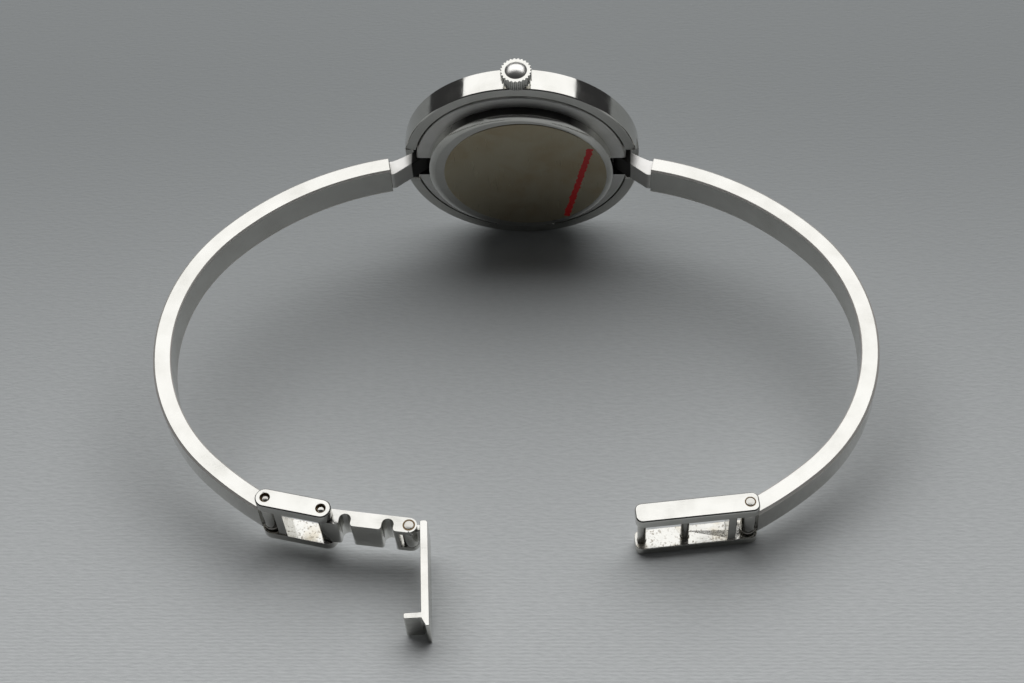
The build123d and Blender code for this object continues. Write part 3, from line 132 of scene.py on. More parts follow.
def bangle_place(tree, stretch=(1, 1, 1), turn=0):
    """The place on the piece in millimetres along the bangle's axes, stretched along each."""
    in_bangle = mapped(
        tree, object_place(tree), row_to_bangle.translation, row_to_bangle.to_euler(),
        (1 / mm, 1 / mm, 1 / mm),
    )
    return mapped(tree, in_bangle, turn=(0, 0, radians(turn)), stretch=stretch)


def parts_of(tree, place):
    """The three coordinates of a place."""
    split = tree.nodes.new("ShaderNodeSeparateXYZ")
    tree.links.new(place, split.inputs["Vector"])
    return split.outputs


print("one unit of the bangle's place in metres:", round(bangle_mm.median_scale, 6))

# %% [markdown]
# A pattern becomes a finish in a few steps: noise is made, its range is moved to the range that is
# wanted, and it then mixes two colours or goes into the roughness. Each step is one small node, and
# a short function for each keeps the materials below readable.
# %% Tools for patterns


def noise(tree, place, scale, detail=3, distortion=0):
    """A soft random pattern with so many features in each unit of the place."""
    pattern = tree.nodes.new("ShaderNodeTexNoise")
    pattern.inputs["Scale"].default_value = scale
    pattern.inputs["Detail"].default_value = detail
    pattern.inputs["Distortion"].default_value = distortion
    tree.links.new(place, pattern.inputs["Vector"])
    return pattern.outputs["Fac"]


def between(tree, value, low, high, to_low=0, to_high=1):
    """The value moved from one range to another, and held there."""
    ranged = tree.nodes.new("ShaderNodeMapRange")
    sockets = ("From Min", "From Max", "To Min", "To Max")
    for socket, number in zip(sockets, (low, high, to_low, to_high)):
        ranged.inputs[socket].default_value = number
    tree.links.new(value, ranged.inputs["Value"])
    return ranged.outputs["Result"]


def blend_colours(tree, share, first, second):
    """A mix of two colours, each a triple of numbers or another node's output."""
    mix = tree.nodes.new("ShaderNodeMix")
    mix.data_type = "RGBA"
    tree.links.new(share, mix.inputs["Factor"])
    # A Mix node has its colour sockets after those for numbers and vectors.
    first_colour, second_colour, mixed_colour = mix.inputs[6], mix.inputs[7], mix.outputs[2]
    for socket, colour in ((first_colour, first), (second_colour, second)):
        if isinstance(colour, tuple):
            socket.default_value = (*colour, 1)
        else:
            tree.links.new(colour, socket)
    return mixed_colour


def arithmetic(tree, operation, first, second=0):
    """One sum of two values, each a number or another node's output."""
    sum_node = tree.nodes.new("ShaderNodeMath")
    sum_node.operation = operation
    for socket, value in zip(sum_node.inputs, (first, second)):
        if isinstance(value, (int, float)):
            socket.default_value = value
        else:
            tree.links.new(value, socket)
    return sum_node.outputs["Value"]


def add_bump(tree, shader, height, distance_mm):
    """A bump from a pattern of heights."""
    bump = tree.nodes.new("ShaderNodeBump")
    bump.inputs["Distance"].default_value = distance_mm * mm
    bump.inputs["Strength"].default_value = 1
    tree.links.new(height, bump.inputs["Height"])
    tree.links.new(bump.outputs["Normal"], shader.inputs["Normal"])


print("tools for patterns are ready")

# %% [markdown]
# Polished steel is never one even grey. Handling leaves fine scratches and smears, so the
# roughness moves between a mirror's and a slightly cloudy one, and a very small bump makes the
# reflections waver. A maker's brush leaves long parallel lines, which are noise stretched one way.
# The colours of steel are here as it reflects them: nearly grey, a little warm.
# %% Steel finishes
bright_steel = (0.63, 0.624, 0.594)
smeared_steel = (0.574, 0.567, 0.533)
dull_steel = (0.45, 0.43, 0.39)
# Painted light: the next two are steel painted paler than its own colour, to lift the case, the necks and the
# crown's cap.
steel_painted_lighter = (0.72, 0.71, 0.69)
steel_painted_lightest = (0.8, 0.79, 0.77)
iron_grey, dark_iron = (0.4, 0.39, 0.38), (0.3, 0.29, 0.28)
blued_steel, dark_blued_steel = (0.2, 0.2, 0.22), (0.14, 0.14, 0.16)
even = (1, 1, 1)
around_case = (1, 0.1, 1)
along_band = (1, 1, 0.3)
along_height = (1, 1, 0.08)
along_blade = (0.12, 1, 1)
smear_scale = 0.35
scratch_scale = 6
scratch_depth = 0.0003


def steel_finish(name, colour, dull_colour, roughness, stretch):
    """A steel whose roughness wanders between two values, with fine lines along one way."""
    tree, shader = new_finish(name)
    smear = noise(tree, bangle_place(tree), smear_scale, detail=4)
    tint = blend_colours(tree, between(tree, smear, 0.35, 0.7), colour, dull_colour)
    tree.links.new(tint, shader.inputs["Base Color"])
    shader.inputs["Metallic"].default_value = 1
    scratches = noise(tree, bangle_place(tree, stretch), scratch_scale, detail=5)
    worn = arithmetic(tree, "MULTIPLY", between(tree, smear, 0.4, 0.75), scratches)
    tree.links.new(between(tree, worn, 0, 0.5, *roughness), shader.inputs["Roughness"])
    add_bump(tree, shader, scratches, scratch_depth)
    return tree, shader


polished_steel = steel_finish(
    "polished_steel", bright_steel, smeared_steel, (0.07, 0.2), around_case)
# Painted light: the case's steel takes the paler colour so that it renders brighter.
case_steel = steel_finish("case_steel", steel_painted_lighter, bright_steel, (0.42, 0.54), around_case)
band_steel = steel_finish("band_steel", bright_steel, smeared_steel, (0.1, 0.26), along_band)
clasp_steel = steel_finish("clasp_steel", bright_steel, smeared_steel, (0.1, 0.28), along_blade)
steel_finish("pin_steel", smeared_steel, dull_steel, (0.18, 0.4), along_height)
steel_finish("brushed_steel", smeared_steel, dull_steel, (0.25, 0.4), along_blade)
steel_finish("cell_steel", bright_steel, smeared_steel, (0.2, 0.35), even)
steel_finish("stator_iron", iron_grey, dark_iron, (0.4, 0.6), even)
# Painted light: the cap's steel takes the palest colour so that it renders brighter.
steel_finish("cap_steel", steel_painted_lightest, bright_steel, (0.3, 0.5), even)
steel_finish("hand", blued_steel, dark_blued_steel, (0.15, 0.3), along_blade)
print("steels:", sorted(material.name for material in bpy.data.materials))

# %% [markdown]
# Years of wear collect where no cloth reaches, and a few other places get painted shade or a painted highlight.
# Each of these places is a range of the bangle's own coordinates, so it makes a mask without any picture: a mask
# is one inside the place and nothing elsewhere. A colour, of grime or of painted light, then covers the finish
# below it where its mask is one.
# %% Tools for grime and painted light


def inside(tree, value, low, high, soft=0.04):
    """One where a value lies between two numbers, with soft ends, and nothing elsewhere."""
    after_low = between(tree, value, low, low + soft)
    before_high = between(tree, value, high - soft, high, to_low=1, to_high=0)
    return arithmetic(tree, "MULTIPLY", after_low, before_high)


def both(tree, *masks):
    """One where every mask is one."""
    shared = masks[0]
    for mask in masks[1:]:
        shared = arithmetic(tree, "MULTIPLY", shared, mask)
    return shared


def slant(tree, *runs):
    """The straight distance that has these two runs along its axes."""
    squares = [arithmetic(tree, "MULTIPLY", run, run) for run in runs]
    return arithmetic(tree, "SQRT", arithmetic(tree, "ADD", *squares))


def grime_and_painted_light(tree, shader, mask, colour, roughness, metallic=0.3):
    """Grime, painted shade or a painted highlight laid over a finish, where the mask is one."""
    clean_colour = shader.inputs["Base Color"].links[0].from_socket
    clean_roughness = shader.inputs["Roughness"].links[0].from_socket
    metal_links = shader.inputs["Metallic"].links
    clean_metal = metal_links[0].from_socket if metal_links else 1
    clean_share = between(tree, mask, 0, 1, to_low=1, to_high=0)
    metal_share = between(tree, mask, 0, 1, to_low=1, to_high=metallic)
    kept = arithmetic(tree, "MULTIPLY", clean_roughness, clean_share)
    added = arithmetic(tree, "MULTIPLY", mask, roughness)
    bared = arithmetic(tree, "MULTIPLY", metal_share, clean_metal)
    tree.links.new(blend_colours(tree, mask, clean_colour, colour), shader.inputs["Base Color"])
    tree.links.new(arithmetic(tree, "ADD", kept, added), shader.inputs["Roughness"])
    tree.links.new(bared, shader.inputs["Metallic"])


print("tools for grime are ready")

# %% [markdown]
# The slots for the arms are painted black inside, and so is the low wall round the case back's boss, on the side
# towards the crown. Both are painted shade, because little light gets into these recesses.
# %% Painted shade on the case
slot_painted_shade = (0.012, 0.011, 0.01)
boss_wall_painted_shade = (0.025, 0.024, 0.022)
slot_reach = (10.16, 12.15)
slot_depth = (-1, 1.9)
slot_middle = -0.25
slot_half_height = 1.52
boss_radius = 10.15
boss_edge = 0.08
boss_wall = (-1.02, 0.1)
crown_side = (6, 8.5)
# Painted shade: the inside of each slot for the arms is painted near black.
for tree, shader in (case_steel, polished_steel):
    slot_x, slot_y, slot_z = parts_of(tree, bangle_place(tree))
    sideways = inside(tree, arithmetic(tree, "ABSOLUTE", slot_x), *slot_reach, soft=0.1)
    above_middle = arithmetic(tree, "SUBTRACT", slot_z, slot_middle)
    upward = inside(tree, above_middle, -slot_half_height, slot_half_height, soft=0.02)
    in_slot = both(tree, sideways, upward, inside(tree, slot_y, *slot_depth))
    grime_and_painted_light(tree, shader, in_slot, slot_painted_shade, roughness=0.5)
# Painted shade: the boss's low wall on the crown's side is painted dark.
tree, shader = polished_steel
back_x, back_y, back_z = parts_of(tree, bangle_place(tree))
round_boss = inside(
    tree, slant(tree, back_x, back_z), boss_radius - boss_edge, boss_radius + boss_edge)
on_wall = both(
    tree, round_boss, inside(tree, back_y, *boss_wall), between(tree, back_z, *crown_side))
grime_and_painted_light(tree, shader, on_wall, boss_wall_painted_shade, roughness=0.5)
print("black between", slot_reach, "mm from the middle, and round", boss_radius, "mm")

# %% [markdown]
# Old grime rings the clasp's pins, and the inner faces of its plates are stained and pitted. The rings follow the
# distance from each pin's axis, which the joints give. The narrow bevel of the bands gets a rougher strip whose
# paler colour is a painted highlight, so that the bevel reads as a light line instead of a dark one.
# %% Wear on the clasp, and a painted highlight on the bands' bevel
brown_grime = (0.26, 0.17, 0.08)
ring_start = 0.3
grime_rings = {
    "link_hinge": (0.56, 3.1, 3.47), "blade_hinge": (0.56, 3.1, 3.47),
    "lever_hinge": (0.64, 1.98, 2.12), "receiver_hinge": (0.57, 3.4, 3.6),
}
plate_inside = (-2.34, -2.24)
tarnished_steel = (0.6, 0.54, 0.42)
pitted_steel = (0.28, 0.24, 0.18)
bevel_painted_highlight = (0.75, 0.72, 0.68)
bevel_height = (1.7, 1.945)
pins = {name: row_to_bangle @ Vector(joints[name]["pos_m"]) for name in grime_rings}
tree, shader = clasp_steel
clasp_place = bangle_place(tree)
clasp_x, clasp_y, clasp_z = parts_of(tree, clasp_place)
for name, (reach, low, high) in grime_rings.items():
    aside = arithmetic(tree, "SUBTRACT", clasp_x, pins[name].x)
    away = arithmetic(tree, "SUBTRACT", clasp_y, pins[name].y)
    ring = inside(tree, slant(tree, aside, away), ring_start, reach)
    on_end = inside(tree, clasp_z, low, high)
    grime_and_painted_light(tree, shader, both(tree, ring, on_end), brown_grime, roughness=0.45)
inner_face = inside(tree, clasp_z, *plate_inside)
tarnish = both(tree, inner_face, between(tree, noise(tree, clasp_place, 0.5), 0.5, 0.75))
grime_and_painted_light(tree, shader, tarnish, tarnished_steel, roughness=0.35, metallic=1)
pits = both(tree, inner_face, between(tree, noise(tree, clasp_place, 5, detail=7), 0.56, 0.74))
grime_and_painted_light(tree, shader, pits, pitted_steel, roughness=0.5, metallic=0.8)
# Painted highlight: the bands' bevel is painted paler so that it reads bright.
tree, shader = band_steel
band_height = arithmetic(tree, "ABSOLUTE", parts_of(tree, bangle_place(tree))[2])
on_bevel = inside(tree, band_height, *bevel_height, soft=0.015)
grime_and_painted_light(tree, shader, on_bevel, bevel_painted_highlight, roughness=0.6, metallic=0.55)
print("pins stand at", [tuple(round(value, 2) for value in pin) for pin in pins.values()])

# %% [markdown]
# The rest of a quartz watch is small plastic, brass and copper parts. They hide inside the case,
# but an exploded view shows them, so each gets its own grain and wear.
# %% Finishes of the movement


def plain_finish(name, colour, other_colour, roughness, metallic=0, grain=3, depth=0.004):
    """A finish whose colour and roughness vary with a fine grain."""
    tree, shader = new_finish(name)
    grains = noise(tree, bangle_place(tree), grain, detail=6)
    tint = blend_colours(tree, between(tree, grains, 0.35, 0.65), colour, other_colour)
    tree.links.new(tint, shader.inputs["Base Color"])
    tree.links.new(between(tree, grains, 0.3, 0.7, *roughness), shader.inputs["Roughness"])
    shader.inputs["Metallic"].default_value = metallic
    add_bump(tree, shader, grains, depth)


plain_finish("holder_plastic", (0.85, 0.85, 0.82), (0.78, 0.78, 0.74), (0.4, 0.6))
plain_finish("plate_plastic", (0.12, 0.12, 0.13), (0.08, 0.08, 0.09), (0.45, 0.6))
plain_finish("gear_plastic", (0.8, 0.78, 0.7), (0.72, 0.7, 0.62), (0.35, 0.5))
plain_finish("gasket", (0.05, 0.05, 0.05), (0.03, 0.03, 0.03), (0.6, 0.8))
plain_finish("chip", (0.03, 0.03, 0.03), (0.05, 0.05, 0.05), (0.55, 0.7), grain=8)
plain_finish("magnet", (0.22, 0.22, 0.24), (0.17, 0.17, 0.19), (0.3, 0.45), metallic=1)
plain_finish("gilt_brass", (0.78, 0.6, 0.25), (0.68, 0.5, 0.2), (0.22, 0.36), metallic=1)
plain_finish("jewel", (0.5, 0.03, 0.12), (0.42, 0.02, 0.09), (0.05, 0.12), depth=0.0005)
print("finishes so far:", len(bpy.data.materials))

# %% [markdown]
# A coil is hundreds of turns of enamelled wire, far too many to model one by one. Bands across the coil's own
# direction make the turns as a bump, with a painted highlight on the crest of each and painted shade in the groove
# between. A wave texture has one band in each unit when its scale is a tenth of pi, and more in proportion.
# %% Copper winding
coil_heading = 38
one_band = pi / 10
winding_scale = 5 / 3
crest_painted_highlight, groove_painted_shade = (0.7, 0.34, 0.16), (0.3, 0.1, 0.04)
copper_tree, copper_shader = new_finish("copper")
winding_node = copper_tree.nodes.new("ShaderNodeTexWave")
winding_node.inputs["Scale"].default_value = winding_scale
winding_node.inputs["Distortion"].default_value = 0.4
along_coil = mapped(copper_tree, bangle_place(copper_tree), turn=(0, radians(coil_heading), 0))
copper_tree.links.new(along_coil, winding_node.inputs["Vector"])
winding = winding_node.outputs["Fac"]
# Painted highlight on each crest and painted shade in each groove.
copper_tree.links.new(
    blend_colours(copper_tree, winding, groove_painted_shade, crest_painted_highlight),
    copper_shader.inputs["Base Color"],
)
copper_shader.inputs["Metallic"].default_value = 1
copper_shader.inputs["Roughness"].default_value = 0.3
add_bump(copper_tree, copper_shader, winding, 0.02)
print("wires in each millimetre of the coil:", round(winding_scale / one_band, 1))

# %% [markdown]
# The green board carries copper tracks under its lacquer. A brick pattern, turned to the board's
# own angle, has thin joints between its bricks. Coloured as copper they give generic tracks, which
# look right without copying any real circuit.
# %% Circuit board
board_lean = 20
board_colours = {
    "Color1": (0.05, 0.26, 0.11, 1), "Color2": (0.06, 0.3, 0.13, 1), "Mortar": (0.5, 0.42, 0.2, 1),
}
board_tree, board_shader = new_finish("board")
tracks = board_tree.nodes.new("ShaderNodeTexBrick")
tracks.inputs["Scale"].default_value = 1.6
tracks.inputs["Mortar Size"].default_value = 0.035
for socket, colour in board_colours.items():
    tracks.inputs[socket].default_value = colour
along_board = mapped(
    board_tree, bangle_place(board_tree), turn=(radians(90), 0, radians(board_lean)))
board_tree.links.new(along_board, tracks.inputs["Vector"])
board_tree.links.new(tracks.outputs["Color"], board_shader.inputs["Base Color"])
board_shader.inputs["Roughness"].default_value = 0.35
add_bump(board_tree, board_shader, tracks.outputs["Fac"], 0.01)
print("board tracks are turned by", board_lean, "degrees")

# %% [markdown]
# The flat of the case back still wears the thin film that protects it on its way to a shop. It is
# darker than the steel below, brown where light catches it, and a red stripe is printed across it.
# The stripe is the strip of points near one line: their distance from the line, with some noise
# added for ragged edges, goes through a narrow range and becomes a mask.
# %% Stripe on the protective film
stripe_middle = (6.32, -1.45)
stripe_lean = radians(12.9)
stripe_half_width = 0.31
stripe_half_length = 6.3
stripe_wander = 0.12
soft_side, soft_end = 0.06, 0.1
film_tree, film_shader = new_finish("protective_film")
film_place = bangle_place(film_tree)
film_x, _, film_z = parts_of(film_tree, film_place)
off_x = arithmetic(film_tree, "SUBTRACT", film_x, stripe_middle[0])
off_z = arithmetic(film_tree, "SUBTRACT", film_z, stripe_middle[1])
aside = arithmetic(
    film_tree, "SUBTRACT",
    arithmetic(film_tree, "MULTIPLY", off_x, cos(stripe_lean)),
    arithmetic(film_tree, "MULTIPLY", off_z, sin(stripe_lean)),
)
lengthways = arithmetic(
    film_tree, "ADD",
    arithmetic(film_tree, "MULTIPLY", off_x, sin(stripe_lean)),
    arithmetic(film_tree, "MULTIPLY", off_z, cos(stripe_lean)),
)
ragged = noise(film_tree, film_place, 2)
wander = between(film_tree, ragged, 0.3, 0.7, -stripe_wander, stripe_wander)
across_stripe = arithmetic(film_tree, "ABSOLUTE", arithmetic(film_tree, "ADD", aside, wander))
along_stripe = arithmetic(film_tree, "ABSOLUTE", lengthways)
in_width = between(
    film_tree, across_stripe, stripe_half_width, stripe_half_width + soft_side, 1, 0)
in_length = between(
    film_tree, along_stripe, stripe_half_length, stripe_half_length + soft_end, 1, 0)
stripe = both(film_tree, in_width, in_length)
print("stripe of", 2 * stripe_half_width, "by", 2 * stripe_half_length, "mm")

# %% [markdown]
# Below the stripe the film is a thin clear skin over steel. A clear coat on a dark metal gives that
# look, with a long grain in its roughness and slow blotches of brown in its colour. The ink of the
# stripe is no metal, so the stripe's mask also lowers the metallic value.
# %% Protective film
film_olive, film_brown = (0.45, 0.405, 0.295), (0.41, 0.34, 0.225)
stripe_red = (0.55, 0.004, 0.006)
along_grain = (1, 1, 0.03)
grain = noise(film_tree, bangle_place(film_tree, along_grain), 9, detail=4)
blotches = noise(film_tree, film_place, 0.25, detail=4, distortion=0.6)
film_colour = blend_colours(
    film_tree, between(film_tree, blotches, 0.4, 0.65), film_olive, film_brown)
film_tree.links.new(
    blend_colours(film_tree, stripe, film_colour, stripe_red), film_shader.inputs["Base Color"])
film_tree.links.new(
    between(film_tree, stripe, 0, 1, to_low=0.9, to_high=0.1), film_shader.inputs["Metallic"])
film_tree.links.new(
    between(film_tree, grain, 0.3, 0.7, to_low=0.27, to_high=0.33),
    film_shader.inputs["Roughness"],
)
film_shader.inputs["Coat Weight"].default_value = 0.25
film_shader.inputs["Coat Roughness"].default_value = 0.2
add_bump(film_tree, film_shader, grain, 0.0004)
print("film colours:", film_olive, film_brown)

# %% [markdown]
# Glass needs little: the right index of refraction and no colour. A trace of noise in the roughness
# stands for the fine hairlines that every worn crystal has.
# %% Crystal
hairline_heading = 30
along_hairlines = (1, 1, 0.2)
crystal_tree, crystal_shader = new_finish("crystal")
crystal_shader.inputs["Base Color"].default_value = (0.97, 0.98, 0.98, 1)
crystal_shader.inputs["Transmission Weight"].default_value = 1
crystal_shader.inputs["IOR"].default_value = 1.5
hairlines = noise(
    crystal_tree, bangle_place(crystal_tree, along_hairlines, hairline_heading), 5, detail=6)
crystal_tree.links.new(
    between(crystal_tree, hairlines, 0.5, 0.8, to_high=0.06), crystal_shader.inputs["Roughness"])
print("crystal hairlines are turned by", hairline_heading, "degrees")

# %% [markdown]
# The dial is turned away from the camera, but a model is looked at from all sides. Its printed
# minute track needs no picture: the angle round the centre, multiplied by sixty and folded, gives
# sixty short strokes, and the distance from the centre says where a stroke starts and ends.
# %% Dial
track_inner = 8.25
track_outer = 8.75
stroke_share = 0.06
pale_lacquer, shaded_lacquer = (0.88, 0.87, 0.83), (0.82, 0.81, 0.77)
dial_ink = (0.03, 0.03, 0.035)
along_rays = (1, 1, 0.1)
dial_tree, dial_shader = new_finish("dial")
dial_x, _, dial_z = parts_of(dial_tree, bangle_place(dial_tree))
dial_angle = arithmetic(dial_tree, "ARCTAN2", dial_z, dial_x)
minute = arithmetic(dial_tree, "MULTIPLY", dial_angle, 60 / radians(360))
folded = arithmetic(dial_tree, "FRACT", arithmetic(dial_tree, "ADD", minute, 0.5))
off_minute = arithmetic(dial_tree, "ABSOLUTE", arithmetic(dial_tree, "SUBTRACT", folded, 0.5))
from_centre = slant(dial_tree, dial_x, dial_z)
print_mask = both(
    dial_tree,
    arithmetic(dial_tree, "GREATER_THAN", from_centre, track_inner),
    arithmetic(dial_tree, "LESS_THAN", from_centre, track_outer),
    arithmetic(dial_tree, "LESS_THAN", off_minute, stroke_share),
)
sunray = noise(dial_tree, bangle_place(dial_tree, along_rays), 5, detail=5)
lacquer = blend_colours(dial_tree, sunray, pale_lacquer, shaded_lacquer)
dial_tree.links.new(
    blend_colours(dial_tree, print_mask, lacquer, dial_ink), dial_shader.inputs["Base Color"])
dial_tree.links.new(
    between(dial_tree, sunray, 0.3, 0.7, to_low=0.28, to_high=0.4),
    dial_shader.inputs["Roughness"],
)
add_bump(dial_tree, dial_shader, sunray, 0.001)
print("dial track from", track_inner, "to", track_outer, "mm")

# %% [markdown]
# Each part of the model already carries the name of its material slot, so one table joins the slots
# to the finishes above. Three parts look unlike the rest of their slot, so a second table names
# another finish for them.
# %% Give every part its finish
finishes = {material.name: material for material in bpy.data.materials}
# Painted light: the necks take the case's paler steel so that their faces render lighter.
own_finish = {"crown_cap": "cap_steel", "left_neck": "case_steel", "right_neck": "case_steel"}


def finish_of(name):
    """The finish of a part: the second table's, or else its material slot's."""
    return finishes[own_finish.get(name, slot_of_node[name])]


for name, node in nodes.items():
    node.data.materials.clear()
    node.data.materials.append(finish_of(name))
print("parts with a finish:", len(nodes))

# %% [markdown]
# No real edge is a perfect corner. A polished part has its corners eased by the wheel, and that
# thin round strip catches light as a bright line. The parts below are copied, their loose triangles
# are merged, flat areas are joined, and every sharp edge gets a narrow bevel. The copy then stands
# for the part, which stays in the model for collisions. Weighted normals keep big faces flat.
# %% A part with eased edges
merge_distance = 0.0015
flat_angle = 0.6
sharp_angle = 28
crease_angle = 40


def eased_copy(name, ease, chosen=None):
    """A copy of one part whose sharp edges are rounded over so many millimetres."""
    mesh = bmesh.new()
    mesh.from_mesh(nodes[name].data)
    bmesh.ops.remove_doubles(mesh, verts=mesh.verts, dist=merge_distance * mm)
    bmesh.ops.dissolve_limit(
        mesh, angle_limit=radians(flat_angle), use_dissolve_boundaries=False,
        verts=mesh.verts, edges=mesh.edges,
    )
    bmesh.ops.recalc_face_normals(mesh, faces=mesh.faces)
    sharp = [
        edge for edge in mesh.edges
        if len(edge.link_faces) == 2 and edge.calc_face_angle() > radians(sharp_angle)
        and (chosen is None or chosen(edge))
    ]
    bmesh.ops.bevel(
        mesh, geom=sharp, offset=ease * mm, offset_type="OFFSET", segments=3,
        profile=0.5, affect="EDGES", clamp_overlap=True, material=-1,
    )
    for face in mesh.faces:
        face.smooth = True
    data = bpy.data.meshes.new("eased_" + name)
    mesh.to_mesh(data)
    mesh.free()
    data.set_sharp_from_angle(angle=radians(crease_angle))
    data.materials.append(finish_of(name))
    piece = bpy.data.objects.new("eased_" + name, data)
    bpy.context.scene.collection.objects.link(piece)
    weighted = piece.modifiers.new("flat_faces", "WEIGHTED_NORMAL")
    weighted.keep_sharp = True
    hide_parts(name)
    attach(piece, body_of_node[name])
    print(piece.name, "faces:", len(data.polygons))


print("edges sharper than", sharp_angle, "degrees will be eased")

# %% [markdown]
# How far an edge is rounded differs from part to part: the thin necks and the crown are soft, the
# pins nearly sharp. On the bezel only the outer rim is eased, because its two notches for the arms
# have edges too close together for a bevel.
# %% Parts with eased edges
edge_widths = {
    "left_neck": 0.12, "right_neck": 0.12, "left_band": 0.08, "right_band": 0.08,
    "link_frame": 0.1, "receiver_frame": 0.1, "hook_blade": 0.09, "clasp_lever": 0.08,
    "end_cross_pin": 0.03, "inner_cross_pin": 0.03, "right_band_pin": 0.04, "lever_pin": 0.04,
    "crown": 0.1,
}
bezel_edge_width = 0.04
notch_reach = 2.8
rim_start = 12.6


def away_from_notches(edge):
    """Whether both ends of an edge keep clear of the bezel's notches for the arms."""
    ends = [row_to_bangle @ corner.co for corner in edge.verts]
    return all(abs(end.z) > notch_reach and end.xz.length > rim_start for end in ends)


for name, width in edge_widths.items():
    eased_copy(name, width)
eased_copy("bezel_ring", bezel_edge_width, away_from_notches)
print("parts with eased edges:", len(edge_widths) + 1)

# %% [markdown]
# The link's two pins end a little below its plates, and each end was domed by the press that set
# it. A dome is half of a flattened ball: a sphere from bmesh, scaled, and cut at its middle. It
# catches one bright spot at the bottom of its dark hole.
# %% A domed pin end
pin_end = 3.15
dome_radius = 0.42
dome_rise = 0.2


def pin_dome(name, pin, side):
    """A dome on one end of a pin of the link: side is 1 for the top and -1 for the bottom."""
    dome = bmesh.new()
    bmesh.ops.create_uvsphere(dome, u_segments=32, v_segments=16, radius=dome_radius)
    bmesh.ops.scale(dome, vec=(1, 1, dome_rise / dome_radius), verts=dome.verts)
    bmesh.ops.bisect_plane(
        dome, geom=dome.verts[:] + dome.edges[:] + dome.faces[:], plane_co=(0, 0, 0),
        plane_no=(0, 0, -side), clear_outer=True,
    )
    bmesh.ops.edgeloop_fill(dome, edges=[edge for edge in dome.edges if edge.is_boundary])
    place = bangle_mm @ Matrix.Translation((pin.x, pin.y, side * pin_end))
    bmesh.ops.transform(dome, matrix=place, verts=dome.verts)
    bmesh.ops.recalc_face_normals(dome, faces=dome.faces)
    # The cut face has many corners and stays flat.
    for face in dome.faces:
        face.smooth = len(face.verts) < 5
    data = bpy.data.meshes.new(name)
    dome.to_mesh(data)
    dome.free()
    data.materials.append(finishes["pin_steel"])
    piece = bpy.data.objects.new(name, data)
    bpy.context.scene.collection.objects.link(piece)
    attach(piece, "link")
    print(name, "faces:", len(data.polygons))


for name, hinge in (("band_pin_dome", "link_hinge"), ("blade_pin_dome", "blade_hinge")):
    pin_dome(name + "_top", pins[hinge], 1)
    pin_dome(name + "_bottom", pins[hinge], -1)

# %% [markdown]
# The watch lies on plain grey card with a fine ribbed tooth. In front, where the picture is sharp, a wave texture
# draws the ribs; further back they fade into a soft stretched noise. Both go into the bump and into a slight
# change of tone. The card is also painted darker towards the back: painted shade for the lamp's light falling off
# there. The floor is large, because polished steel reflects it far beyond the picture's edge.
# %% Floor
floor_size = 2
floor_mesh = bmesh.new()
bmesh.ops.create_grid(floor_mesh, x_segments=1, y_segments=1, size=floor_size)
floor_data = bpy.data.meshes.new("floor")
floor_mesh.to_mesh(floor_data)
floor_mesh.free()
floor = bpy.data.objects.new("floor", floor_data)
bpy.context.scene.collection.objects.link(floor)
print("floor side in metres:", 2 * floor_size)

# %% [markdown]
# The ribs are bands of a wave texture, whose scale is worked out from the distance between two of them. A smooth
# step from front to back paints the shade towards the back, because a straight one would show as a hard line where
# it starts.
# %% Grey card
card_light = (0.9, 0.925, 0.93)
card_dark = (0.8, 0.825, 0.83)
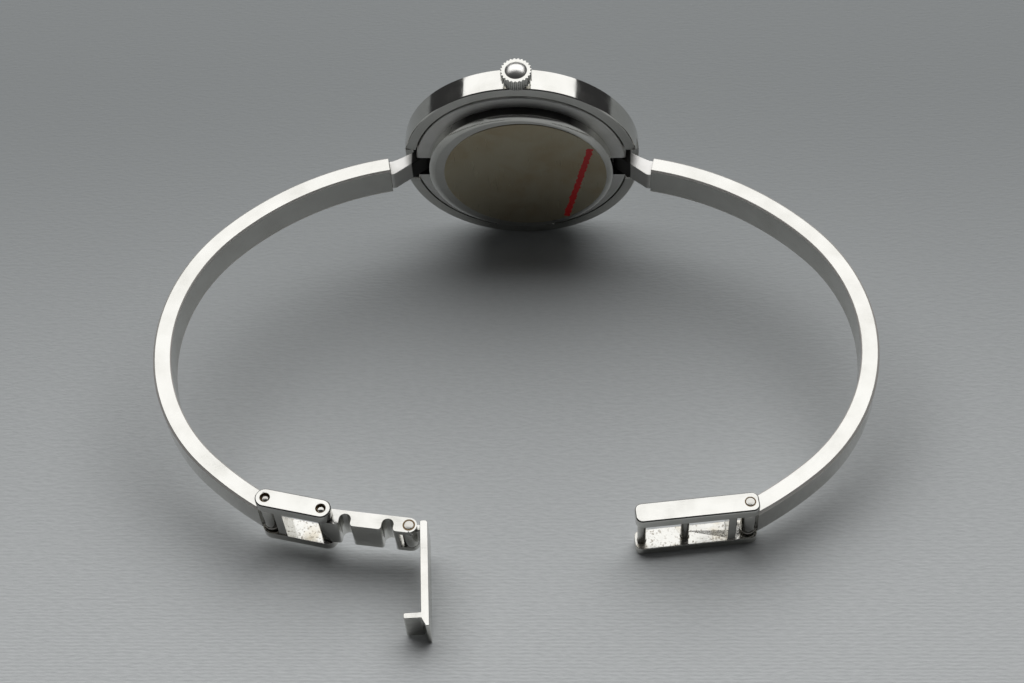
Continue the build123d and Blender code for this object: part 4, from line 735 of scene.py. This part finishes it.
# Painted shade: the far card's colour is darker to stand for the lamp's falloff.
far_card_painted_shade = (0.37, 0.39, 0.395)
tooth_each_metre = (1000, 3000, 1)
rib_pitch = 0.4
rib_strength = 0.15
ribs_fade = (-0.03, -0.004)
card_fade = (-0.06, 0.06)
card_tree, card_shader = new_finish("card")
card_place = object_place(card_tree)
tooth = noise(card_tree, mapped(card_tree, card_place, stretch=tooth_each_metre), 1, detail=4)
waves = card_tree.nodes.new("ShaderNodeTexWave")
waves.bands_direction = "Y"
waves.inputs["Scale"].default_value = one_band / (rib_pitch * mm)
waves.inputs["Distortion"].default_value = 2.5
waves.inputs["Detail"].default_value = 4
card_tree.links.new(card_place, waves.inputs["Vector"])
card_y = parts_of(card_tree, card_place)[1]
rib_share = between(card_tree, card_y, *ribs_fade, to_low=rib_strength, to_high=0)
tooth_share = between(card_tree, rib_share, 0, 1, to_low=1, to_high=0)
ribs = arithmetic(
    card_tree, "ADD",
    arithmetic(card_tree, "MULTIPLY", waves.outputs["Fac"], rib_share),
    arithmetic(card_tree, "MULTIPLY", tooth, tooth_share),
)
front_tone = blend_colours(card_tree, between(card_tree, ribs, 0.3, 0.7), card_dark, card_light)
# Painted shade: the card's colour darkens towards the back in place of the lamp's falloff.
painted_shade_towards_back = between(card_tree, card_y, *card_fade)
painted_shade_towards_back.node.interpolation_type = "SMOOTHSTEP"
card_tree.links.new(
    blend_colours(card_tree, painted_shade_towards_back, front_tone, far_card_painted_shade), card_shader.inputs["Base Color"])
card_shader.inputs["Roughness"].default_value = 0.85
add_bump(card_tree, card_shader, ribs, 0.06)
floor_data.materials.append(bpy.data.materials["card"])
print("ribs of the card stand", rib_pitch, "mm apart")

# %% [markdown]
# Polished steel shows its room. One large soft lamp hangs over and behind the watch, where the
# flat tops of the bands mirror it towards the camera, and the room beyond it is dim, which gives
# the dark bands on the round wall of the case. The lamp's power is its brightness times its area
# and pi, so that a white card under it renders about white.
# %% Light
lamp_width = 1.76
lamp_depth = 1.5
lamp_height = 0.75
lamp_shift = 0.81
lamp_brightness = 1.5
room_brightness = 0.04
room_blue = 1.03
lamp_data = bpy.data.lights.new("softbox", "AREA")
lamp_data.shape = "RECTANGLE"
lamp_data.size = lamp_width
lamp_data.size_y = lamp_depth
lamp_data.energy = lamp_brightness * lamp_width * lamp_depth * pi
lamp = bpy.data.objects.new("softbox", lamp_data)
lamp.location = (0, lamp_shift, lamp_height)
bpy.context.scene.collection.objects.link(lamp)
world = bpy.data.worlds.new("room")
bpy.context.scene.world = world
world.use_nodes = True
world.node_tree.nodes["Background"].inputs["Color"].default_value = (
    room_brightness, room_brightness, room_brightness * room_blue, 1)
bpy.context.scene.view_settings.view_transform = "Standard"
print("lamp power in watts:", round(lamp_data.energy, 3))

# %% [markdown]
# Last, the scene's matrices are brought up to date.
# %% Finish
bpy.context.view_layer.update()
